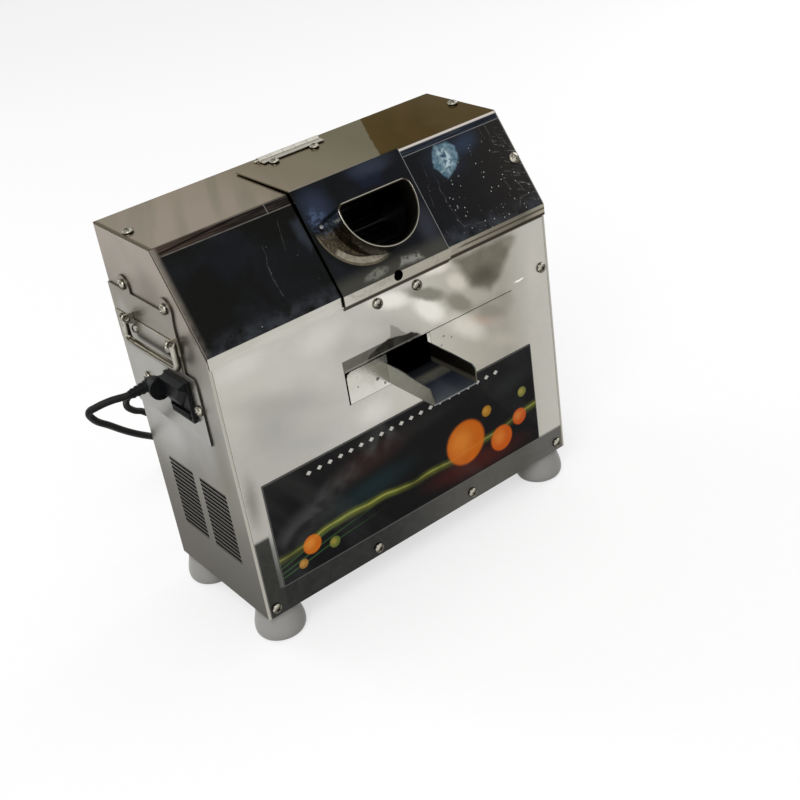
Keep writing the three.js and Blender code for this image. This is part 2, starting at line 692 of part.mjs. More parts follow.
// a handle is a bent rod that hangs from two ears folded out of its own plate
function handle(side, backX) {
  const gripT = 1.2;
  const gripY0 = BAIL_FRONT_Y + 8.5;
  const gripY1 = DEPTH - 4;
  const x0 = backX + GAP;
  const rodX0 = x0 + BAIL_OUT;
  const earT = 2;
  const slack = 0.5;
  let grip = box(x0, x0 + gripT, gripY0, gripY1, GRIP_PLATE_LOW, GRIP_PLATE_TOP);
  const earTop = BAIL_PIVOT_Z + 3;
  const rivet = [[0, 0], [3.9, 0], [3.9, 0.8], [2.6, 2.2], [0, 2.6]];
  for (const [y, drop] of GRIP_RIVETS) {
    const z = GRIP_PLATE_TOP - drop;
    grip = grip.add(turned(rivet, [x0 + gripT - 0.1, y, z], [1, 0, 0], 16));
  }
  for (const [y, dir] of [[BAIL_FRONT_Y, 1], [BAIL_REAR_Y, -1]]) {
    const inner = y + dir * (BAIL_R + slack);
    const outer = inner + dir * earT;
    const e0 = Math.min(inner, outer);
    const e1 = Math.max(inner, outer);
    const lug = alongY([
      [x0, GRIP_PLATE_TOP - 5], [rodX0 + 1, GRIP_PLATE_TOP - 1], [rodX0 + 3.4, BAIL_PIVOT_Z - 1],
      [rodX0 + 3.4, earTop - 1.8], [rodX0 + 2, earTop], [x0, earTop],
    ], e0, e1);
    const t0 = Math.min(e0, gripY0);
    const t1 = Math.max(e1, gripY0);
    const tongue = box(x0, x0 + gripT, t0, t1, GRIP_PLATE_TOP - 10, GRIP_PLATE_TOP);
    grip = grip.add(lug).add(tongue);
    grip = grip.subtract(rodY(rodX0, BAIL_PIVOT_Z, BAIL_R - 1 + 0.1, e0 - 1, e1 + 1, 16));
  }
  const low = BAIL_PIVOT_Z - BAIL_DROP;
  const stub = BAIL_R + slack + earT + 1.5;
  const corner = 5.5;
  const path = new THREE.CurvePath();
  const vertex = (y, z) => new THREE.Vector3(rodX0, y, z);
  path.add(new THREE.LineCurve3(vertex(BAIL_FRONT_Y, BAIL_PIVOT_Z + 2), vertex(BAIL_FRONT_Y, low + corner)));
  path.add(new THREE.QuadraticBezierCurve3(
    vertex(BAIL_FRONT_Y, low + corner), vertex(BAIL_FRONT_Y, low), vertex(BAIL_FRONT_Y + corner, low)));
  path.add(new THREE.LineCurve3(vertex(BAIL_FRONT_Y + corner, low), vertex(BAIL_REAR_Y - corner, low)));
  path.add(new THREE.QuadraticBezierCurve3(
    vertex(BAIL_REAR_Y - corner, low), vertex(BAIL_REAR_Y, low), vertex(BAIL_REAR_Y, low + corner)));
  path.add(new THREE.LineCurve3(vertex(BAIL_REAR_Y, low + corner), vertex(BAIL_REAR_Y, BAIL_PIVOT_Z + 2)));
  const rod = new THREE.ExtrudeGeometry(shapeOf(ring(0, 0, BAIL_R, 10)), {
    steps: 30, bevelEnabled: false, extrudePath: path,
  });
  let bail = toSolid(rod);
  bail = bail.add(rodY(rodX0, BAIL_PIVOT_Z, BAIL_R - 1, BAIL_FRONT_Y, BAIL_FRONT_Y + stub, 12));
  bail = bail.add(rodY(rodX0, BAIL_PIVOT_Z, BAIL_R - 1, BAIL_REAR_Y - stub, BAIL_REAR_Y, 12));
  const flip = side < 0;
  return [grip, bail].map((s) => (flip ? s.mirror([1, 0, 0]) : s));
}

{
  const [leftGrip, leftBail] = handle(-1, plateOutX);
  place('left_handle_plate', leftGrip, STEEL, 1, 0.3);
  place('left_handle', leftBail, BRIGHT, 1, 0.2);
  const [rightGrip, rightBail] = handle(1, plateOutX - PLATE_T - GAP);
  place('right_handle_plate', rightGrip, STEEL, 1, 0.3);
  place('right_handle', rightBail, BRIGHT, 1, 0.2);
}

// mains inlet with its rocker switch, and the angled connector of the lead

const bezelX0 = plateOutX + GAP;
const bezelX1 = bezelX0 + BEZEL_T;
const rockerZ0 = INLET_Z0 + 2.2;
const rockerZ1 = INLET_Z0 + 10;
const rockerY0 = INLET_Y0 + 4;
const rockerY1 = INLET_Y1 - 4;
const rockerZ = (rockerZ0 + rockerZ1) / 2;
const rockerPivotX = bezelX0 + 0.6;

{
  let inlet = box(bezelX0, bezelX1, INLET_Y0, INLET_Y1, INLET_Z0, INLET_Z1);
  const neck = 2 + GAP;
  inlet = inlet.add(box(
    HALF_W - 24, bezelX0 + 1, INLET_Y0 + neck, INLET_Y1 - neck, INLET_Z0 + neck, INLET_Z1 - neck));
  inlet = inlet.subtract(box(
    bezelX0 - 6, bezelX1 + 1, rockerY0 - GAP, rockerY1 + GAP, rockerZ0 - GAP, rockerZ1 + GAP));
  place('power_inlet', inlet.mirror([1, 0, 0]), BLACK, 0, 0.45);

  const rocker = alongY([
    [rockerPivotX - 3, rockerZ0 + 1.6], [bezelX1 + 0.6, rockerZ0 + 0.3], [bezelX1 + 1.4, rockerZ0 + 1.2],
    [bezelX1 + 0.4, rockerZ], [bezelX1 + 2.6, rockerZ1 - 0.6], [bezelX1 + 1.6, rockerZ1 - 0.2],
    [rockerPivotX - 3, rockerZ1 - 1.6],
  ], rockerY0, rockerY1);
  place('rocker_switch', rocker.mirror([1, 0, 0]), 0x2a2c2f, 0, 0.35);
}

const plugX0 = bezelX1 + GAP;
const plugOutX = plugX0 + CONNECTOR_OUT;
const plugY1 = INLET_Y1 - 2.4;
const plugX = plugOutX;
const plugZ = rockerZ1 + 14;
const bootEnd = plugY1 + BOOT_L;

{
  // wedge shaped body, wide where it meets the inlet and bevelled towards its outer face
  const low = rockerZ1 + 0.8;
  const inner = [
    [INLET_Y0 + 0.6, INLET_Z1 - 8], [INLET_Y0 + 13.5, low], [plugY1, low],
    [plugY1, INLET_Z1], [INLET_Y0 + 0.6, INLET_Z1],
  ];
  const outer = [
    [INLET_Y0 + 1.6, INLET_Z1 - 4], [INLET_Y0 + 10.8, low + 10.6], [plugY1, low + 8.6],
    [plugY1, INLET_Z1 - 3], [INLET_Y0 + 3, INLET_Z1 - 3],
  ];
  const corners = inner.map((p) => new THREE.Vector3(plugX0, p[0], p[1]));
  corners.push(...outer.map((p) => new THREE.Vector3(plugOutX, p[0], p[1])));
  let body = toSolid(new ConvexGeometry(corners));
  const profile = [[0, -2], [5, -2], [5, -0.2], [BOOT_R, 0], [BOOT_R, 3.6], [BOOT_R - 2, 4.4]];
  profile.push([6.6, BOOT_L], [0, BOOT_L]);
  const boot = turned(profile, [plugX, plugY1, plugZ], [0, 1, 0], 16);
  body = body.add(boot.intersect(box(plugX0, plugX0 + 40, 0, 200, 0, 400)));
  place('cord_connector', body.mirror([1, 0, 0]), BLACK, 0, 0.45);
}

// The lead leaves the connector, swings out to the left, drops behind the cabinet, makes one small
// loop there and runs down to a coil that lies on the floor behind the machine. Its bends are given
// from the connector in x and z, and from the rear of the cabinet in y.

const cordStart = [-plugX, bootEnd + GAP, plugZ];
const floorZ = -FOOT_H + CORD_R + 0.4;
const coilOuterR = COIL_INNER_R + COIL_PITCH * COIL_TURNS / 2;
const coilX0 = COIL_X - coilOuterR;
const coilTopZ = floorZ + 2 * CORD_R + 1;
const cordBends = [
  [-5.1, -57.5, -3],
  [-18.6, -52.5, -6.5],
  [-33.8, -47.5, -6.8],
  [-45.7, -42.5, -9.6],
  [-51, -38.5, -12.8],
  [-46.5, -32.5, -23.6],
  [-30.7, -22.5, -41.8],
  [-10.7, -9.5, -63.6],
  [11.7, 5.5, -85],
  [33.8, 16.5, -102.8],
  [48.4, 23.5, -110.5],
  [55.4, 31.5, -107.5],
  [43.5, 37.5, -97],
  [34.3, 40.5, -89],
  [25.4, 42.5, -80.3],
  [17.5, 43.5, -75.5],
  [13.5, 45.5, -69],
  [17.8, 47.5, -63.5],
  [26.9, 49.5, -63.3],
  [38.9, 52.5, -70],
  [51.4, 56.5, -84.5],
  [58.4, 58.5, -109.5],
];
const cordRoute = [cordStart, [cordStart[0], cordStart[1] + 2.5, plugZ]];
for (const [dx, dy, dz] of cordBends) {
  cordRoute.push([cordStart[0] + dx, DEPTH + dy, plugZ + dz]);
}
cordRoute.push([-127, DEPTH + 57.5, 30]);
cordRoute.push([-119, DEPTH + 52.5, -4]);
cordRoute.push([-103, COIL_Y - 42, floorZ + 2]);
cordRoute.push([-88, COIL_Y - 38, floorZ]);
cordRoute.push([coilX0 - 1.5, COIL_Y - 24, floorZ]);

{
  const coilPoints = [];
  const pointCount = 20;
  const half = COIL_TURNS / 2;
  const total = Math.round(pointCount * COIL_TURNS);
  for (let i = 0; i <= total; i += 1) {
    const turn = i / pointCount;
    const inLayer = turn <= half ? turn : COIL_TURNS - turn;
    const radius = COIL_INNER_R + COIL_PITCH * (half - inLayer);
    const climb = THREE.MathUtils.smoothstep(turn, half - 0.35, half + 0.35);
    const angle = Math.PI - 2 * Math.PI * turn;
    const z = floorZ + climb * (coilTopZ - floorZ);
    coilPoints.push([COIL_X + radius * Math.cos(angle), COIL_Y + radius * Math.sin(angle), z]);
  }
  // straight ends along the first and the last loop
  const leadIn = [coilX0, COIL_Y - 2 * CORD_R, floorZ];
  const leadOut = [coilX0, COIL_Y + 46, coilTopZ];
  const coilRoute = [leadIn].concat(coilPoints, [[coilX0, COIL_Y + 23, coilTopZ], leadOut]);
  let least = 1e9;
  for (let i = 0; i < coilRoute.length; i += 1) {
    for (let j = i + 12; j < coilRoute.length; j += 1) {
      const a = new THREE.Vector3(...coilRoute[i]);
      const b = new THREE.Vector3(...coilRoute[j]);
      least = Math.min(least, a.distanceTo(b) - 2 * CORD_R);
    }
  }
  console.log('coil: least gap to itself', least.toFixed(2), 'mm');
  const coil = tube(coilRoute, CORD_R, 6, total + 4);
  console.log('coil: length', coil.curve.getLength().toFixed(0), 'mm');
  place('cord_coil', coil.solid, BLACK, 0, 0.6);

  const tail = [leadIn[0], leadIn[1] - GAP, leadIn[2]];
  const cord = tube(cordRoute.concat([[tail[0], tail[1] - 7, floorZ], tail]), CORD_R, 8, 76);
  console.log('cord: length', cord.curve.getLength().toFixed(0), 'mm');
  place('power_cord', cord.solid, BLACK, 0, 0.6);

  // three-pin plug lying beside the coil
  const px = leadOut[0];
  const py = leadOut[1] + GAP;
  const plugMidZ = coilTopZ + 4;
  const profile = [[0, 0], [5, 0], [7, 14], [7.5, 18], [17, 20], [18.5, 24], [18.5, 40], [0, 40]];
  let plug = turned(profile, [px, py, plugMidZ], [0, 1, 0], 20);
  for (const [dx, dz, r] of [[-6.5, -3.6, 2.5], [6.5, -3.6, 2.5], [0, 7.4, 3.5]]) {
    plug = plug.add(rodY(px + dx, plugMidZ + dz, r, py + 39, py + 58, 12));
  }
  plug = plug.intersect(box(px - 60, px + 60, py, py + 80, -FOOT_H + 0.1, 60));
  place('mains_plug', plug, BLACK, 0, 0.5);
}

// juice tray with its front apron and open spout

const spoutX0 = CENTRE_X + 0.5 - SPOUT_W / 2;
const spoutX1 = spoutX0 + SPOUT_W;

{
  const trayTop = OUTLET_TOP - 1;
  const wallY = SHEET + GAP;
  let tray = box(trayX0, trayX1, wallY, TRAY_BACK_Y, SPOUT_FLOOR_Z, trayTop);
  tray = tray.add(box(
    OUTLET_LEFT + APRON_SIDE_GAP, OUTLET_RIGHT - GAP, 0, SHEET, OUTLET_LOW + GAP, trayTop));
  tray = tray.add(box(
    trayX0, OUTLET_RIGHT - GAP, SHEET / 2, wallY + SHEET / 2, SPOUT_FLOOR_Z, trayTop));
  tray = tray.subtract(box(
    trayX0 + SHEET, trayX1 - SHEET, wallY + SHEET, TRAY_BACK_Y - SHEET, SPOUT_FLOOR_Z + SHEET, trayTop + 2));
  tray = tray.subtract(box(
    spoutX0 + SHEET, spoutX1 - SHEET, -1, wallY + SHEET + 1, SPOUT_FLOOR_Z + SHEET, trayTop + 2));
  const apronX = OUTLET_LEFT + APRON_SIDE_GAP;
  const cornerCut = alongY([
    [apronX - 0.5, trayTop + 1], [apronX - 0.5, trayTop - 5], [apronX, trayTop - 5],
    [apronX + 1.4, trayTop - 1.6], [apronX + 5, trayTop], [apronX + 5, trayTop + 1],
  ], -1, SHEET + 1);
  tray = tray.subtract(cornerCut);
  let spout = alongY([
    [spoutX0, SPOUT_FLOOR_Z], [spoutX1, SPOUT_FLOOR_Z], [spoutX1, SPOUT_WALL_TOP],
    [spoutX1 - SHEET, SPOUT_WALL_TOP], [spoutX1 - SHEET, SPOUT_FLOOR_Z + SHEET],
    [spoutX0 + SHEET, SPOUT_FLOOR_Z + SHEET], [spoutX0 + SHEET, SPOUT_WALL_TOP], [spoutX0, SPOUT_WALL_TOP],
  ], -SPOUT_OUT, SHEET / 2);
  const lean = new THREE.Matrix4().set(1, 0, 0, 0, 0, 1, 0, 0, 0, SPOUT_DROP / SPOUT_OUT, 1, 0, 0, 0, 0, 1);
  const leaned = toGeometry(spout);
  leaned.applyMatrix4(lean);
  spout = toSolid(leaned);
  const leftCut = alongX([
    [-SPOUT_OUT - 1, SPOUT_WALL_TOP + 1], [-SPOUT_OUT - 1, SPOUT_FLOOR_Z + SHEET], [-SPOUT_OUT, SPOUT_FLOOR_Z + SHEET],
    [-SPOUT_OUT + 4.4, SPOUT_WALL_TOP - 4.3], [-1, SPOUT_WALL_TOP + 1],
  ], spoutX0 - 2, spoutX0 + SHEET + 2);
  const rightCut = alongX([
    [-SPOUT_OUT - 1, SPOUT_WALL_TOP + 1], [-SPOUT_OUT - 1, SPOUT_WALL_TOP - 4.6], [-SPOUT_OUT, SPOUT_WALL_TOP - 4.6],
    [-SPOUT_OUT + 3.6, SPOUT_WALL_TOP - 1.8], [-1, SPOUT_WALL_TOP + 1],
  ], spoutX1 - SHEET - 2, spoutX1 + 2);
  tray = tray.add(spout.subtract(leftCut).subtract(rightCut));
  place('juice_tray', tray, BRIGHT, 1, 0.2);
}

// crushing rollers in two bearing cheeks that span from the front panel to the rear panel

const rollerX0 = (cheekLeft + cheekRight + CHEEK_T - ROLLER_L) / 2;
const rollerX1 = rollerX0 + ROLLER_L;

{
  const y0 = SHEET + GAP;
  const y1 = DEPTH - SHEET - GAP;
  const top = HEIGHT - 9.4;
  const low = OUTLET_TOP - CHEEK_LOW_DROP;
  const outline = [[y0, low], [y1, low], [y1, top], [SLANT_TOP_Y + 8, top]];
  outline.push([y0 + 3, SLANT_LOW_Z - 9], [y0, SLANT_LOW_Z - 15]);
  const holes = [ring(LOWER_Y, LOWER_Z, BEARING_R + GAP, 24), ring(upperY, upperZ, BEARING_R + GAP, 24)];
  let left = alongX(outline, cheekLeft, cheekLeft + CHEEK_T, holes.map((h) => h.slice().reverse()));
  let right = alongX(outline, cheekRight, cheekRight + CHEEK_T, holes.map((h) => h.slice().reverse()));
  for (const [x, z] of Object.values(frontScrews)) {
    left = left.subtract(rodY(x, z, shankHole, -2, 10, 12));
    right = right.subtract(rodY(x, z, shankHole, -2, 10, 12));
  }
  place('left_bearing_cheek', left, DARK, 0.8, 0.5);
  place('right_bearing_cheek', right, DARK, 0.8, 0.5);

  const spots = {
    bearing_lower_left: [cheekLeft, LOWER_Y, LOWER_Z],
    bearing_lower_right: [cheekRight, LOWER_Y, LOWER_Z],
    bearing_upper_left: [cheekLeft, upperY, upperZ],
    bearing_upper_right: [cheekRight, upperY, upperZ],
  };
  for (const [name, [x, y, z]] of Object.entries(spots)) {
    const mid = x + CHEEK_T / 2;
    const hole = ring(y, z, SHAFT_R + 0.08, 24).reverse();
    const bearing = alongX(ring(y, z, BEARING_R, 24), mid - BEARING_L / 2, mid + BEARING_L / 2, [hole]);
    place(name, bearing, 0x8a8c90);
  }
}

function fluted(y, z) {
  const points = [];
  for (let i = 0; i < FLUTES; i += 1) {
    const step = 2 * Math.PI / FLUTES;
    for (const [f, depth] of [[-0.3, 0], [0.12, 0], [0.3, FLUTE_DEPTH], [0.5, FLUTE_DEPTH]]) {
      const a = (i + f) * step;
      const r = ROLLER_R - depth;
      points.push([y + r * Math.cos(a), z + r * Math.sin(a)]);
    }
  }
  return alongX(points, rollerX0, rollerX1);
}

function gear(y, z, teeth, x0, x1, phase, bore) {
  const pitch = GEAR_MODULE * teeth / 2;
  const outer = pitch + 0.85 * GEAR_MODULE;
  const root = pitch - 1.2 * GEAR_MODULE;
  const step = 2 * Math.PI / teeth;
  const halfPitch = step / 4 - BACKLASH / 2 / pitch;
  const lean = 0.36;
  const halfTop = halfPitch - (outer - pitch) * lean / pitch;
  const halfRoot = halfPitch + (pitch - root) * lean / pitch * 0.8;
  const points = [];
  for (let i = 0; i < teeth; i += 1) {
    const a = phase + i * step;
    for (const [f, r] of [[-halfRoot, root], [-halfTop, outer], [halfTop, outer], [halfRoot, root]]) {
      points.push([y + r * Math.cos(a + f), z + r * Math.sin(a + f)]);
    }
  }
  const holes = bore > 0 ? [ring(y, z, bore, 24).reverse()] : [];
  return alongX(points, x0, x1, holes);
}

const upAngle = Math.atan2(upperZ - LOWER_Z, upperY - LOWER_Y);
const rollerGearX0 = cheekRight + CHEEK_T + 5;
const rollerGearX1 = rollerGearX0 + GEAR_W;
const mainGearX0 = rollerGearX1 + 4;
const mainGearX1 = mainGearX0 + GEAR_W;

{
  const shaftLeft = cheekLeft - 6;
  const lower = fluted(LOWER_Y, LOWER_Z).add(rodX(LOWER_Y, LOWER_Z, SHAFT_R, shaftLeft, mainGearX1 + 2, 24));
  place('lower_roller', lower, STEEL, 1, 0.35);
  const upper = fluted(upperY, upperZ).add(rodX(upperY, upperZ, SHAFT_R, shaftLeft, rollerGearX1 + 2, 24));
  place('upper_roller', upper, STEEL, 1, 0.35);

  const bore = SHAFT_R + GAP;
  const g0 = rollerGearX0;
  const g1 = rollerGearX1;
  const meshTurn = upAngle + Math.PI + Math.PI / ROLLER_TEETH;
  place('lower_roller_gear', gear(LOWER_Y, LOWER_Z, ROLLER_TEETH, g0, g1, upAngle, bore), DARK);
  place('upper_roller_gear', gear(upperY, upperZ, ROLLER_TEETH, g0, g1, meshTurn, bore), DARK);
  const wheel = gear(LOWER_Y, LOWER_Z, MAIN_TEETH, mainGearX0, mainGearX1, -Math.PI / 2, bore);
  place('main_gear', wheel, DARK);

  const halfPinion = Math.PI / PINION_TEETH;
  const pinion = gear(
    LOWER_Y, pinionZ, PINION_TEETH, mainGearX0 - 1, mainGearX1 + 1, Math.PI / 2 + halfPinion, 0);
  place('drive_pinion', pinion.add(rodX(LOWER_Y, pinionZ, SHAFT_R, mainGearX1, mainGearX1 + 16, 20)), DARK);
}

// geared motor on a cradle

const gearboxX0 = mainGearX1 + 5;
const gearboxX1 = insideX - GAP;

{
  const front = LOWER_Y - 36.3;
  const rear = LOWER_Y + 41.7;
  const waist = MOTOR_Z + 48;
  const top = pinionZ + 26.5;
  let gearbox = alongX([
    [front + 4, 14.5], [rear - 4, 14.5], [rear, 20], [rear, waist], [rear - 14, top - 4],
    [rear - 20, top], [front + 14, top], [front + 8, top - 4], [front, waist], [front, 20],
  ], gearboxX0, gearboxX1);
  gearbox = gearbox.subtract(rodX(LOWER_Y, pinionZ, SHAFT_R + GAP, gearboxX0 - 1, mainGearX1 + 17, 20));
  gearbox = gearbox.subtract(box(gearboxX0 - 1, gearboxX1 + 1, 20, 130, 0, SHEET + GAP));
  gearbox = gearbox.add(box(gearboxX0, gearboxX1 - 4, front + 4, rear - 4, SHEET + GAP, 20));
  place('gearbox', gearbox, 0x7c8288, 0.5, 0.5);

  const motorX1 = gearboxX0 - GAP;
  const motorX0 = motorX1 - 170;
  const shell = [
    [0, 0], [30, 0], [34, 6], [44, 10], [44, 34], [MOTOR_R, 35],
    [MOTOR_R, 135], [44, 136], [44, 160], [34, 164], [34, 170], [0, 170],
  ];
  let motor = turned(shell, [motorX0, MOTOR_Y, MOTOR_Z], [1, 0, 0], 26);
  motor = motor.subtract(rodX(MOTOR_Y, MOTOR_Z, 4 + GAP, motorX0 - 1, motorX0 + 12, 16));
  place('motor', motor, 0x60656b, 0.6, 0.5);

  let fan = rodX(MOTOR_Y, MOTOR_Z, 4, motorX0 - 14, motorX0 + 11, 16);
  fan = fan.add(rodX(MOTOR_Y, MOTOR_Z, 11, motorX0 - 18, motorX0 - 6, 20));
  for (let i = 0; i < 7; i += 1) {
    let blade = toGeometry(box(-1, 1, -6, 6, 8, 38));
    blade.applyMatrix4(new THREE.Matrix4().makeRotationZ(0.6));
    blade.applyMatrix4(new THREE.Matrix4().makeRotationX(2 * Math.PI * i / 7));
    blade.translate(motorX0 - 12, MOTOR_Y, MOTOR_Z);
    fan = fan.add(toSolid(blade));
  }
  place('motor_fan', fan, 0x8f9296, 0.3, 0.5);

  let cradle = box(motorX0 + 40, motorX0 + 130, 34, 112, SHEET + GAP, 46);
  cradle = cradle.subtract(rodX(MOTOR_Y, MOTOR_Z, MOTOR_R + GAP, motorX0, motorX0 + 170, 32));
  cradle = cradle.subtract(box(motorX0 + 48, motorX0 + 122, 30, 116, SHEET + GAP + 3, 60));
  place('motor_cradle', cradle, DARK, 0.7, 0.5);
}

// feed ramp in front of the rollers and the sheet chute that carries the crushed cane out behind

{
  const rampPath = roundPath([[5, SLANT_LOW_Z - 17], [13, SLANT_LOW_Z + 7], [45, LOWER_Z + 9]], 3);
  place('feed_ramp', alongX(sheet(rampPath, -SHEET), innerX0, innerX1), STEEL, 1, 0.3);

  const dip = 0.38;
  const chuteY0 = LOWER_Y + ROLLER_R + 2.5;
  const chuteStart = LOWER_Z - 5;
  const floorAt = (y) => chuteStart - (y - chuteY0) * dip;
  const yEnd = rearMost;
  const floor = sheet([[chuteY0, floorAt(chuteY0)], [yEnd, floorAt(yEnd)]], -CHUTE_SHEET);
  let chute = alongX(floor, innerX0, innerX1);
  const wallY0 = chuteY0 + 14;
  const wall = [
    [wallY0, floorAt(wallY0) - 1], [yEnd, floorAt(yEnd) - 1],
    [yEnd, floorAt(yEnd) + 14], [wallY0, floorAt(wallY0) + 14],
  ];
  chute = chute.add(alongX(wall, innerX0, innerX0 + CHUTE_SHEET));
  chute = chute.add(alongX(wall, innerX1 - CHUTE_SHEET, innerX1));
  place('bagasse_chute', chute, STEEL, 1, 0.3);
}

export default group;
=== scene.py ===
import json
import math
from functools import partialmethod

import bmesh
import bpy
from mathutils import Matrix, Vector

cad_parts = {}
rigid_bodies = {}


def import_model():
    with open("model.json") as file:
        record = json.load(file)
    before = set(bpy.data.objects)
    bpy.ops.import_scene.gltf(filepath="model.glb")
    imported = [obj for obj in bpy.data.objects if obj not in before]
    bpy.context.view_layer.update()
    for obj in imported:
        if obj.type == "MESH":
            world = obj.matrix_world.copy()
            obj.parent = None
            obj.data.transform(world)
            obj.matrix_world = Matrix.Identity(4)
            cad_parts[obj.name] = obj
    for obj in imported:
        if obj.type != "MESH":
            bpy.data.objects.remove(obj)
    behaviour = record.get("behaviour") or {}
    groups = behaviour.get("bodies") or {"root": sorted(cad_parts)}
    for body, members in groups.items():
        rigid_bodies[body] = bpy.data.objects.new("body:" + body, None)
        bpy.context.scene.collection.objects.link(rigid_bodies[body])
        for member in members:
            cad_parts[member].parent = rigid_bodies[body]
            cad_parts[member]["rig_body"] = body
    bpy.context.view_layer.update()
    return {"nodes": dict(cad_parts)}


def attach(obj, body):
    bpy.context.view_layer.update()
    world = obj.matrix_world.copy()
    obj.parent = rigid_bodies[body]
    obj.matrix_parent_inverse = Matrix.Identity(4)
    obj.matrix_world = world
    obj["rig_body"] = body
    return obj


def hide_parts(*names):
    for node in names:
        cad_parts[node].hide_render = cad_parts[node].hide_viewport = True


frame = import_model()
nodes = frame["nodes"]
bodyOf = {name: node["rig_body"] for name, node in nodes.items()}
scene = bpy.context.scene

# body measures are millimetres from the middle of the cabinet's front foot edge, as in the CAD source
origin = (0.9, -51.25, 29)


def spot(*place):
    return Vector([(value + shift) / 1000 for value, shift in zip(place, origin)])


def tone(*screen):
    # a colour as it is read off a screen, turned into the linear values that shaders take
    shares = [value / 255 for value in screen]
    return (*(v / 12.92 if v <= 0.04045 else ((v + 0.055) / 1.055) ** 2.4 for v in shares), 1)


cabinet = {
    "halfWidth": 175, "depth": 146.5, "height": 331.4, "slantLow": 255, "slantTopY": 52, "floor": -29,
}
slantRise = cabinet["height"] - cabinet["slantLow"]
slantLength = math.hypot(cabinet["slantTopY"], slantRise)
upY = cabinet["slantTopY"] / slantLength
upZ = slantRise / slantLength


def slantPlace(x, along, off):
    # body place of a point on the slanted face: up along it, and off it
    return x, along * upY - off * upZ, cabinet["slantLow"] + along * upZ + off * upY


def addObject(name, data):
    made = bpy.data.objects.new(name, data)
    scene.collection.objects.link(made)
    return made


# camera, at the place and angle the photograph was taken from
view = {
    "place": (-0.5420, -0.84615, 0.7263), "lens": 58.19, "sensor": 36, "reach": 60,
    "right": (0.7745, -0.6176, -0.1369), "ahead": (0.4828, 0.7168, -0.5031),
}


def makeCamera():
    data = bpy.data.cameras.new("photoView")
    data.lens = view["lens"]
    data.sensor_width = view["sensor"]
    data.sensor_fit = "HORIZONTAL"
    data.clip_end = view["reach"]
    right = Vector(view["right"]).normalized()
    up = -Vector(view["ahead"]).normalized().cross(right).normalized()
    turn = Matrix((right, up, right.cross(up))).transposed().to_4x4()
    scene.camera = addObject("photoView", data)
    scene.camera.matrix_world = Matrix.Translation(view["place"]) @ turn


makeCamera()
print("camera placed")


# shader building

def spanOf(start, end):
    # middle, length and turn of a straight line
    middle = ((start[0] + end[0]) / 2, (start[1] + end[1]) / 2)
    return middle, math.dist(start, end), math.atan2(end[1] - start[1], end[0] - start[0])


